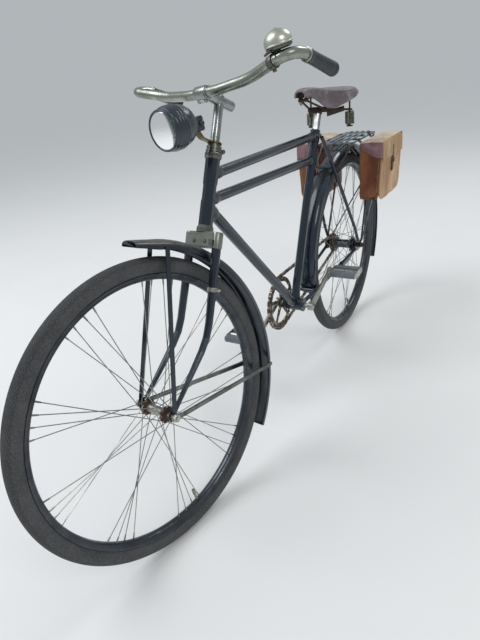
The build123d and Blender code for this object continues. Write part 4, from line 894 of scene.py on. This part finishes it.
def saddle_rivets():
    """Dull rivets along the rear plate and on the nose."""
    shape = Shape()
    for y in (-62, -38, 0, 38, 62):
        rear = Vector((saddle_centre - saddle_half_length * 0.93, y, saddle_height - 9.5 - abs(y) * 0.03))
        shape.turned([(6.5, -1.5), (6.5, 0.6), (5.0, 1.8), (2.0, 2.4)], rear, (-0.35, 0, 1), 16)
    for y in (-8, 8):
        nose = Vector((saddle_centre + saddle_half_length * 0.93, y, saddle_height + 0.5))
        shape.turned([(5.0, -1.5), (5.0, 0.5), (3.8, 1.6), (1.5, 2.0)], nose, (0.3, 0, 1), 14)
    shape.piece("saddle_rivets", "frame", "rusty_steel", "grimy_nickel")


def coil(shape, centre, radius, length, turns, wire):
    """Close coil that hangs down from a point."""
    per_turn = 18
    path = []
    steps = int(turns * per_turn)
    for step in range(steps + 1):
        turn = 2 * math.pi * step / per_turn
        grow = radius * min(1.0, 0.55 + 0.45 * min(step, steps - step) / 9)
        path.append(centre + Vector((grow * math.cos(turn), grow * math.sin(turn), -length * step / steps)))
    shape.tube(path, wire, 8)


def saddle_springs():
    """Close coils below the rear plate, and the dark side plates that run forward to the clamp."""
    coils = Shape()
    plates = Shape()
    clamp = bracket + seat_up * (post_height + 14)
    coil_x = saddle_centre - saddle_half_length * 0.8
    coil_side = saddle_half_width * 0.68
    for side in (-1, 1):
        coil(coils, Vector((coil_x, side * coil_side, clamp.z - 18.7)), 14.4, 43.0, 10.0, 1.8)
        start = Vector((clamp.x - 4, side * 30, clamp.z - 14))
        end = Vector((coil_x + 16, side * (coil_side - 14), clamp.z - 8))
        along = (end - start).normalized()
        plates.strip([start, end], 17.0, 4.0, 0.0, 1.2, (upward - along * along.z).normalized())
    coils.piece("saddle_coils", "frame", "rusty_steel", "coil_steel", "saddle_springs")
    plates.piece("saddle_plates", "frame", "rusty_steel", "frame_steel")


# Lamp

lamp_radius = 46.0
lamp_half_length = 48.0
lamp_ring = head_tube_high + 34.3
lamp_tilt = math.radians(4.0)
lamp_back = Vector((-math.cos(lamp_tilt), 0, math.sin(lamp_tilt)))
lamp_middle = Vector((on_head(stem_height, stem_reach).x + 91.7, 0, on_head(lamp_ring).z + 52.0))
lamp_front = lamp_middle + Vector((lamp_half_length, 0, 0))


def lamp():
    """Drum lamp with pressed ribs and a rolled front ring, on its fitting and bolt."""
    drum = Shape()
    outline = [(38.6, 2.0), (39.6, 0.2), (41.6, -0.2), (43.3, 0.8), (44.0, 3.0), (44.3, 7.0), (44.0, 8.4),
               (45.2, 9.6), (46.2, 14), (46.6, 17.4)]
    for rib in (18, 26, 34):
        outline += [(46.6 + 1.4 * math.sin(math.pi * step / 6), rib + 6.4 * step / 6) for step in range(7)]
    outline += [(46.2, 42), (44.6, 52), (41.6, 61), (37.0, 69), (30.5, 75.5), (22.0, 80.4), (12.0, 83.4),
                (2, 84)]
    drum.turned(outline, lamp_front, lamp_back, 72)
    screw_foot = lamp_front + lamp_back * 5.5 + upward * 43.8
    drum.turned([(4.2, -2.2), (4.2, 0.6), (3.4, 1.9), (1, 2.3)], screw_foot, upward, 14)
    drum.piece("lamp_drum", "steering", "black_enamel", "lamp_enamel", "lamp_body", sharp=50)
    fitting = Shape()
    seat = lamp_front + lamp_back * 101 - upward * 8
    fitting.box(seat, (18.5, 8.5, 16.0), (lamp_back, leftward, lamp_back.cross(leftward)), 2.5)
    fitting.turned([(5.5, -12.5), (6.5, -11.5), (6.5, -8.0), (3.0, -8.0), (3.0, 8.0), (6.5, 8.0), (6.5, 11.5),
                    (5.0, 12.8)], seat + lamp_back * 9, leftward, 16)
    fitting.piece("lamp_fitting", "steering", "black_enamel", "lamp_enamel")
    bolt = Shape()
    head = [(12.5, 82.0), (12.5, 85.6), (9.0, 86.4), (7.2, 87.0), (7.2, 95.0), (9.2, 95.4), (9.2, 97.0),
            (8.6, 100.4), (8.6, 104.0), (4.2, 104.6), (4.2, 109.5), (1.2, 110.2)]
    bolt.turned(head, lamp_front, lamp_back, 6)
    bolt.turned([(7.4, 83.0), (7.4, 98.0)], lamp_front, lamp_back, 24)
    bolt.piece("lamp_bolt", "steering", "worn_chrome", "worn_chrome")


def lamp_inside():
    """Silvered bowl, bulb and domed glass of the lamp."""
    def turned_glass(name, profile, sides, paint, stands_for=None, caps=True):
        turned_piece(name, profile, lamp_front, lamp_back, sides, "steering", "lamp_glass", paint,
                     stands_for, caps=caps)

    bowl = [(lamp_radius - 5.6, 2.5)]
    for step in range(1, 13):
        share = step / 12
        bowl.append(((lamp_radius - 6) * math.sqrt(1 - share) + 5 * share, 2.5 + 30 * share))
    turned_glass("lamp_bowl", bowl, 48, "reflector", caps=False)
    bulb = [(4, 32), (4.2, 27), (5.6, 23), (6.2, 19), (5.2, 14.5), (2.5, 12.2), (0.4, 11.8)]
    turned_glass("lamp_bulb", bulb, 20, "lamp_glass")
    radius = lamp_radius - 6.2
    dome = [(radius, 3.4), (radius, 2.2)] + dome_arc(radius, -4.4, 2.2, range(10, 90, 10)) + [(0.4, -2.2)]
    dome += [(r * 0.985, distance + 1.6) for r, distance in reversed(dome[1:])]
    turned_glass("lamp_cover_glass", dome, 64, "lamp_glass", "lamp_lens", False)


# Handlebar, grips and bell

bar_radius = 11.45
bar_middle = on_head(stem_height, stem_reach)
bar_first_bend = bar_middle + leftward * 48.0
bar_dip = bar_middle + Vector((-11.0, 130.0, 7.7))
bar_corner = bar_middle + Vector((3.0, 247.0, 38.0))
grip_start = bar_middle + Vector((-58.0, 247.0, 30.0))
grip_slope = math.radians(20.4)
grip_way = Vector((-math.cos(grip_slope), 0, -math.sin(grip_slope)))


def mirrored(point):
    return Vector((point.x, -point.y, point.z))


def handlebar():
    """Gull-winged bar with its sleeve, smooth swelling grips and a pale ring at the start of each."""
    bar = Shape()
    half = arc_path([bar_middle, bar_first_bend, bar_dip, bar_corner, grip_start - grip_way * 12,
                     grip_start + grip_way * 3], [180.0, 190.0, 30.0, 40.0], 12)
    bar.tube([mirrored(point) for point in reversed(half[1:])] + half, bar_radius, 28)
    bar.turned(both_ways([(12.0, -21.5), (12.7, -20.4)]), bar_middle, leftward, 28)
    bar.piece("bar", "steering", "worn_chrome", "bar_chrome", "handlebar")
    ring = [(11.6, -1.6), (14.0, -1.4), (14.7, -0.4), (14.7, 0.9), (13.8, 1.8), (11.6, 1.9)]
    grip = [(11.6, 1.7), (13.6, 1.9), (14.4, 3.0), (14.4, 8.0), (13.9, 9.0)]
    grip += [(13.5 + 1.5 * (step / 10) ** 1.6, 10 + 7.6 * step) for step in range(11)]
    grip += [(14.5, 87.5), (15.2, 89.0), (15.4, 94.0), (15.0, 97.5), (13.4, 100.4), (10.0, 101.8), (3, 102)]
    grips = Shape()
    rings = Shape()
    for start, way in ((grip_start, grip_way), (mirrored(grip_start), mirrored(grip_way))):
        rings.turned(ring, start, way, 32)
        grips.turned(grip, start, way, 36)
    grips.piece("grip_rubbers", "steering", "black_rubber", "black_rubber", "grips", sharp=35)
    rings.piece("grip_rings", "steering", "worn_chrome", "pale_steel")


def stem():
    """Quill, sliding cross tube with rounded ends, bar clamp with its bolt, and the expander bolt on top."""
    shape = Shape()
    shape.turned([(10.95, head_tube_high + 8.2), (10.95, stem_height + 10.5), (9.6, stem_height + 12)],
                 steer_foot, steer_up, 36)
    shape.turned([(7.4, stem_height + 11.5), (8.0, stem_height + 12.4), (8.0, stem_height + 16.8),
                  (6.4, stem_height + 18.6), (2.0, stem_height + 19)], steer_foot, steer_up, 6)
    shape.turned([(5.0, -44.0), (9.5, -43.4), (11.8, -41.6), (12.5, -38.5), (12.5, stem_reach - 3)],
                 on_head(stem_height), steer_ahead, 36)
    shape.turned(both_ways([(12.8, -19.0), (14.2, -18.8), (15.2, -17.8), (15.6, -16.0)]), bar_middle,
                 leftward, 36)
    bolt = bar_middle - steer_up * 16.5 - steer_ahead * 3
    shape.box(bolt + steer_up * 2, (5.0, 9.0, 5.5), steer_axes, 1.5)
    shape.turned([(5.0, -13.5), (5.0, -9.0), (3.0, -8.8), (3.0, 8.8), (5.2, 9.0), (5.2, 12.5), (3.0, 13.4)],
                 bolt, leftward, 6)
    shape.piece("stem_dressed", "steering", "worn_chrome", "stem_chrome", "stem", sharp=38)


def bell():
    """Domed bell over its dark works, on a strap clamp round the bar."""
    along = (bar_dip - bar_corner).normalized()
    seat = bar_dip + (bar_corner - bar_dip) * 0.64
    lean = Vector((0.13, -0.06, 0.98)).normalized()
    base = seat + Vector((-11.0, 13.0, 19.0))
    mouth = 28.5
    dome = [(mouth - 2.6, 9.4), (mouth - 1.2, 8.4), (mouth, 8.9), (mouth + 0.1, 11.0), (mouth - 0.7, 12.0),
            (mouth - 0.7, 12.9), (mouth, 13.6)]
    dome += dome_arc(mouth, 24.2, 13.6, range(6, 90, 6))
    dome += [(2.9, 37.9), (2.9, 38.9), (1.4, 39.5)]
    turned_piece("bell_dome", dome, base, lean, 56, "steering", "bell_metal", "bell_metal", "bell")
    works = Shape()
    cup = [(8.0, 0.4), (mouth - 8, 1.0), (mouth - 2.6, 3.4), (mouth - 1.6, 5.4), (mouth - 1.8, 7.8),
           (mouth - 4, 9.0)]
    works.turned(cup, base, lean, 44)
    outward = along.cross(lean).normalized()
    pivot = base + lean * 3.2 - outward * (mouth - 8)
    lever = [pivot - outward * out - lean * down for out, down in ((0, 0), (14, 1.5), (25, 4.5))]
    works.tube(lever, [2.6, 3.0, 2.2], 10)
    works.turned(both_ways([(2.6, -2.4), (4.6, -2.0)]), pivot, lean, 16)
    works.piece("bell_works", "steering", "bell_metal", "grimy_nickel", sharp=45)
    clamp = Shape()
    clamp.turned(both_ways([(11.6, -7), (13.6, -7), (14.0, -6.2)]), seat, along, 32)
    clamp.tube([seat + lean * 9, base + lean * 2.5], [5.0, 6.5], 14)
    clamp.turned([(4.2, -4.5), (4.2, -1.5), (3.0, 0.5), (3.0, 3.0)], seat - lean * 13.5, lean, 12)
    clamp.piece("bell_clamp", "steering", "worn_chrome", "grimy_nickel")


# Bags

bag_front = 50.0
bag_length = 262.0
bag_back = bag_front - bag_length
bag_middle = bag_front - bag_length / 2
bag_inside = 78.0
bag_thickness = 84.0
bag_far = bag_inside + bag_thickness
bag_top = 750.0
bag_height = 205.0
rail_side = 57.0
strap_way = Vector((1, 0, 0))


def side_name(side):
    return "left" if side > 0 else "right"


def outwards(faces, side):
    """Faces of a sheet built on one side or the other, turned so that they look outwards."""
    return faces if side < 0 else [face[::-1] for face in faces]


def bag_out(share):
    """Place of the body's outer side at a share of its height from the top: it narrows downwards."""
    return bag_far - 3 - 13 * share ** 1.6


def bag_shell(side):
    """Bag body as a sagging shell: softened corners, gussets pressed in, a rounded and drooping bottom."""
    rings = 30
    around_count = 64
    corner = 7.0
    round_from = 0.88
    points = []
    for ring in range(rings + 1):
        share = ring / rings
        soft = math.sin(math.pi * min(1.0, share * 1.02)) ** 0.7
        under = max(0.0, share - round_from) / (1 - round_from)
        shrink = 12 * (1 - math.cos(under * math.pi / 2))
        out = bag_out(share)
        for index in range(around_count):
            edge, local = divmod(index * 4 / around_count, 1)
            inset = 4.2 * (1 - (2 * local - 1) ** 2) * soft
            if edge == 0:
                x = bag_back + bag_length * local
                y = bag_inside + 1 + shrink * 0.5
            elif edge == 1:
                x = bag_front - 3 - inset - shrink
                y = bag_inside + 1 + (out - bag_inside) * local
            elif edge == 2:
                x = bag_front - bag_length * local
                y = out + inset * 0.3 - shrink
            else:
                x = bag_back + 3 + inset + shrink
                y = out + 1 - (out - bag_inside) * local
            cx = min(max(x, bag_back + corner), bag_front - corner)
            cy = min(max(y, bag_inside + corner), out + 3 - corner)
            off = Vector((x - cx, y - cy, 0))
            if off.length > corner and abs(off.x) > 1e-6 and abs(off.y) > 1e-6:
                off = off * (corner / off.length)
            along = (cx + off.x - bag_back) / bag_length
            sag = 3.0 * math.sin(math.pi * along) * max(0.0, share - 0.6) / 0.4
            wave = 1.1 * math.sin(x * 0.045 + share * 9.0) * soft
            z = bag_top - (bag_height - 3.2) * share - sag
            points.append(Vector((cx + off.x, side * (cy + off.y + wave * (edge != 0)), z)))
    faces = grid_faces(rings + 1, around_count, False, True) + end_faces(rings + 1, around_count)[1:]
    name = side_name(side)
    made = make_piece("bag_body_" + name, points, outwards(faces, side), "frame",
                      "cognac_leather", "bag_" + name)
    thicken(made, 3.0)


def bag_face(side):
    """Outer hide: a loose sheet over the gusset's edge, round at its lower corners and curling out there."""
    rows = 34
    columns = 40
    rounding = 34.0
    height = bag_height - 2.0
    points = []
    for r in range(rows + 1):
        share = r / rows
        left_over = height * (1 - share)
        half = bag_length / 2 + 1.5
        if left_over < rounding:
            half -= rounding - math.sqrt(max(0.0, rounding ** 2 - (rounding - left_over) ** 2)) * 0.999
        for c in range(columns + 1):
            across = -1 + 2 * c / columns
            belly = 3.4 * (1 - across * across) * math.sin(math.pi * share) ** 0.8
            curl = 5.5 * share ** 5 * (0.55 + 0.45 * abs(across))
            ripple = 0.9 * math.sin(across * 8 + share * 5) * share
            y = min(bag_out(share) + 1.9 + belly * 0.6 + curl + ripple, bag_far + 0.6)
            droop = 1.2 * math.sin(math.pi * (across + 1) / 2) * share
            z = bag_top - 1.0 - height * share - droop
            points.append(Vector((bag_middle + across * half, side * y, z)))
    faces = outwards(grid_faces(rows + 1, columns + 1), side)
    made = make_piece("bag_face_" + side_name(side), points, faces, "frame", "tan_leather")
    thicken(made, 3.4)


def bag_seams(side):
    """Rolled seam and stitches where each gusset meets the outer hide."""
    seam = Shape()
    stitch = Shape()
    for x, out in ((bag_front - 3.4, 1), (bag_back + 3.4, -1)):
        path = []
        for step in range(25):
            share = step / 24 * 0.86
            path.append(Vector((x, side * (bag_out(share) - 0.6), bag_top - 4 - (bag_height - 6) * share)))
        seam.tube(path, 2.0, 8)
        for step in range(29):
            share = 0.06 + step * 0.027
            top = Vector((x + out * 2.0, side * (bag_out(share) - 7.0), bag_top - bag_height * share))
            stitch.tube([top, top - upward * 3.4], 0.55, 5)
    seam.piece("bag_seams_" + side_name(side), "frame", "bag_leather", "tan_leather")
    stitch.piece("bag_stitches_" + side_name(side), "frame", "bag_leather", "pale_leather")


def bag_loops(side):
    """Leather loops over the rack's rail."""
    shape = Shape()
    outline = [(79.5, 716.0), (77.0, 738.0), (70.0, 748.0)]
    for step in range(9):
        turn = math.radians(-20 + 200 * step / 8)
        outline.append((rail_side + 5.4 * math.cos(turn), rack_height + 5.6 * math.sin(turn)))
    for share in (0.3, 0.8):
        path = [Vector((bag_back + bag_length * share, side * y, z)) for y, z in outline]
        shape.strip(path, 22.0, 2.2, 0.5, 0.4, strap_way)
    shape.piece("bag_loops_" + side_name(side), "frame", "bag_leather", "strap_leather")


def lid_sheet(side):
    """Lid as one bent sheet that drops over the outer face, its crown paler than its front."""
    drop = 62.0
    outline = [(bag_inside + 0.6, 2.3), (bag_inside + 22, 5.2), (bag_inside + 48, 7.4), (bag_far - 12, 7.0),
               (bag_far - 3, 4.4), (bag_far + 1.8, -2.4), (bag_far + 2.6, -14), (bag_far + 2.8, -34),
               (bag_far + 3.0, -drop)]
    columns = 40
    points = []
    for y, rise in outline:
        share = max(0.0, -rise / drop)
        for column in range(columns + 1):
            across = -1 + 2 * column / columns
            ripple = 0.8 * math.sin(across * 7 + y * 0.08) + 0.5 * math.sin(across * 17)
            x = bag_middle + across * (bag_length / 2 + 3.2)
            z = bag_top + rise - 2.0 * abs(across) ** 6 + 0.5 * ripple * (1 - share)
            points.append(Vector((x, side * (y + 0.4 * ripple * share), z)))
    name = side_name(side)
    faces = outwards(grid_faces(len(outline), columns + 1), side)
    made = make_piece("lid_sheet_" + name, points, faces, "lid_" + name, "lid_front",
                      "bag_lid_" + name)
    thicken(made, 3.0)
    round_off = made.modifiers.new("soft", "SUBSURF")
    round_off.levels = 1
    round_off.render_levels = 1
    made.data.materials.append(paints["pale_leather"])
    for polygon in made.data.polygons:
        polygon.material_index = 1 if abs(polygon.normal.z) > 0.8 else 0


def lid_ends(side):
    """Flaps that fold down from the lid over both gussets."""
    rows = 12
    columns = 16
    flaps = Shape()
    for x, out in ((bag_front + 2.2, 1), (bag_back - 2.2, -1)):
        points = []
        for r in range(rows + 1):
            down = r / rows
            for c in range(columns + 1):
                across = c / columns
                y = bag_inside + 3 + (bag_thickness + 0.5) * across
                top = bag_top + 1.2 + 4.6 * math.sin(math.pi * min(1, across * 1.05) * 0.55)
                low = bag_top - 15 - 33 * math.sin(math.pi * min(across, 1.9 - across) * 0.56) ** 1.3
                bulge = out * (0.5 + 0.8 * math.sin(across * 5 + down * 3))
                points.append(Vector((x + bulge, side * y, top + (low - top) * down)))
        flaps.add(points, grid_faces(rows + 1, columns + 1))
    name = side_name(side)
    thicken(flaps.piece("lid_ends_" + name, "lid_" + name, "lid_leather", "lid_leather", sharp=60), 2.6, 0)


def lid_strap(side):
    """Closing strap down the middle of the lid, with its buckle."""
    def at(dx, proud, below):
        return Vector((bag_middle + dx, side * (bag_far + proud), bag_top - below))

    body = "lid_" + side_name(side)
    strap = Shape()
    path = [at(0, proud, below) for proud, below in ((4.6, 22), (5.0, 40), (5.2, 70), (4.2, 92), (3.0, 116))]
    strap.strip(path, 21.0, 2.6, 0.6, 0.5, strap_way)
    strap.piece("lid_strap_" + side_name(side), body, "lid_leather", "strap_leather")
    buckle = Shape()
    corners = ((0, -9), (13, -9), (13, 9), (-13, 9), (-13, -9), (0, -9))
    buckle.tube(arc_path([at(dx, 6.4, 78 + down) for dx, down in corners], 2.5, 4), 1.4, 8)
    buckle.tube([at(0, 7.4, 69), at(0, 7.2, 87)], 1.1, 8)
    buckle.piece("lid_buckle_" + side_name(side), body, "brass", "brass")


for build in (fork_crown, head_clamp, front_stays, saddle_top, saddle_rivets, saddle_springs, lamp,
              lamp_inside, handlebar, stem, bell):
    build()
for bag_side in (1, -1):
    for build in (bag_shell, bag_face, bag_seams, bag_loops, lid_sheet, lid_ends, lid_strap):
        build(bag_side)


# Floor, light and camera

floor_tone = (0.88, 0.88, 0.87)
floor_half = 60.0
sky_strength = 0.56

# Fitted to the photograph, over the ground point below the rear axle; the focal length is in its pixels
camera_place = Vector((1926.0, 685.7, 1044.1))
camera_right = Vector((-0.4932, 0.8642, -0.0993))
camera_forward = Vector((-0.7559, -0.4823, -0.4427))
camera_origin = Vector((240.0, 0.0, 957.0))
focal_pixels = 510.7
frame_height = 640.0
sensor_height = 24.0


def place_in_scene(name, data):
    made = bpy.data.objects.new(name, data)
    bpy.context.scene.collection.objects.link(made)
    return made


def stage():
    """Wide pale floor."""
    height = row((0, 0, 0)).z
    mesh = bpy.data.meshes.new("floor")
    corners = [(x * floor_half, y * floor_half, height) for x, y in ((-1, -1), (1, -1), (1, 1), (-1, 1))]
    mesh.from_pydata(corners, [], [(0, 1, 2, 3)])
    floor = place_in_scene("floor", mesh)
    paint = Paint("floor_paint", floor_tone, 0.9, **{"Specular IOR Level": 0.0})
    darker, lighter = (tuple(c * share for c in floor_tone) for share in (0.98, 1.02))
    paint.color(paint.blend(paint.noise(3, 2), darker, lighter))
    mesh.materials.append(paint.material)


def sky():
    """Soft sky light; what the camera, gloss and glass see beyond the floor has the floor's tone."""
    world = bpy.data.worlds.new("studio")
    bpy.context.scene.world = world
    world.use_nodes = True
    nodes = NodeTree(world.node_tree)
    above = nodes.tree.nodes["Background"]
    nodes.put(above.inputs["Color"], (0.90, 0.95, 1.0))
    nodes.put(above.inputs["Strength"], sky_strength)
    backdrop = nodes.node("ShaderNodeBackground", {"Color": (0.440, 0.466, 0.485)})
    rays = nodes.node("ShaderNodeLightPath").outputs
    seen = nodes.math("MAXIMUM", rays["Is Camera Ray"], rays["Is Glossy Ray"])
    seen = nodes.math("MAXIMUM", seen, rays["Is Transmission Ray"])
    mix = nodes.node("ShaderNodeMixShader", {0: seen, 1: above.outputs[0], 2: backdrop.outputs[0]})
    nodes.put(nodes.tree.nodes["World Output"].inputs["Surface"], mix.outputs[0])


def area_light(name, place, target, size, power, color):
    """Round soft light in metres and watts, aimed at a point."""
    light = bpy.data.lights.new(name, "AREA")
    light.shape = "DISK"
    light.size = size
    light.energy = power
    light.color = color
    made = place_in_scene(name, light)
    made.location = place
    made.rotation_euler = (Vector(target) - Vector(place)).to_track_quat("-Z", "Y").to_euler()


def camera():
    """Camera that sees the bicycle as the photograph does."""
    data = bpy.data.cameras.new("camera")
    data.sensor_fit = "VERTICAL"
    data.sensor_height = sensor_height
    data.lens = focal_pixels / frame_height * sensor_height
    made = place_in_scene("camera", data)
    forward = camera_forward.normalized()
    up = camera_right.cross(forward).normalized()
    turn = Matrix((forward.cross(up).normalized(), up, -forward)).transposed()
    made.matrix_world = Matrix.Translation((camera_place - camera_origin) / 1000) @ turn.to_4x4()
    bpy.context.scene.camera = made


stage()
sky()
area_light("key", (1.9, -2.3, 2.9), (0.2, 0, -0.4), 3.0, 78, (0.94, 0.97, 1.0))
area_light("fill", (2.2, 2.8, 2.4), (0.2, 0, -0.4), 1.6, 26, (1.0, 0.97, 0.92))
area_light("back", (-2.6, 0.9, 2.8), (0.0, 0, -0.3), 1.6, 30, (1.0, 0.99, 0.96))
camera()
bpy.context.scene.view_settings.view_transform = "Standard"
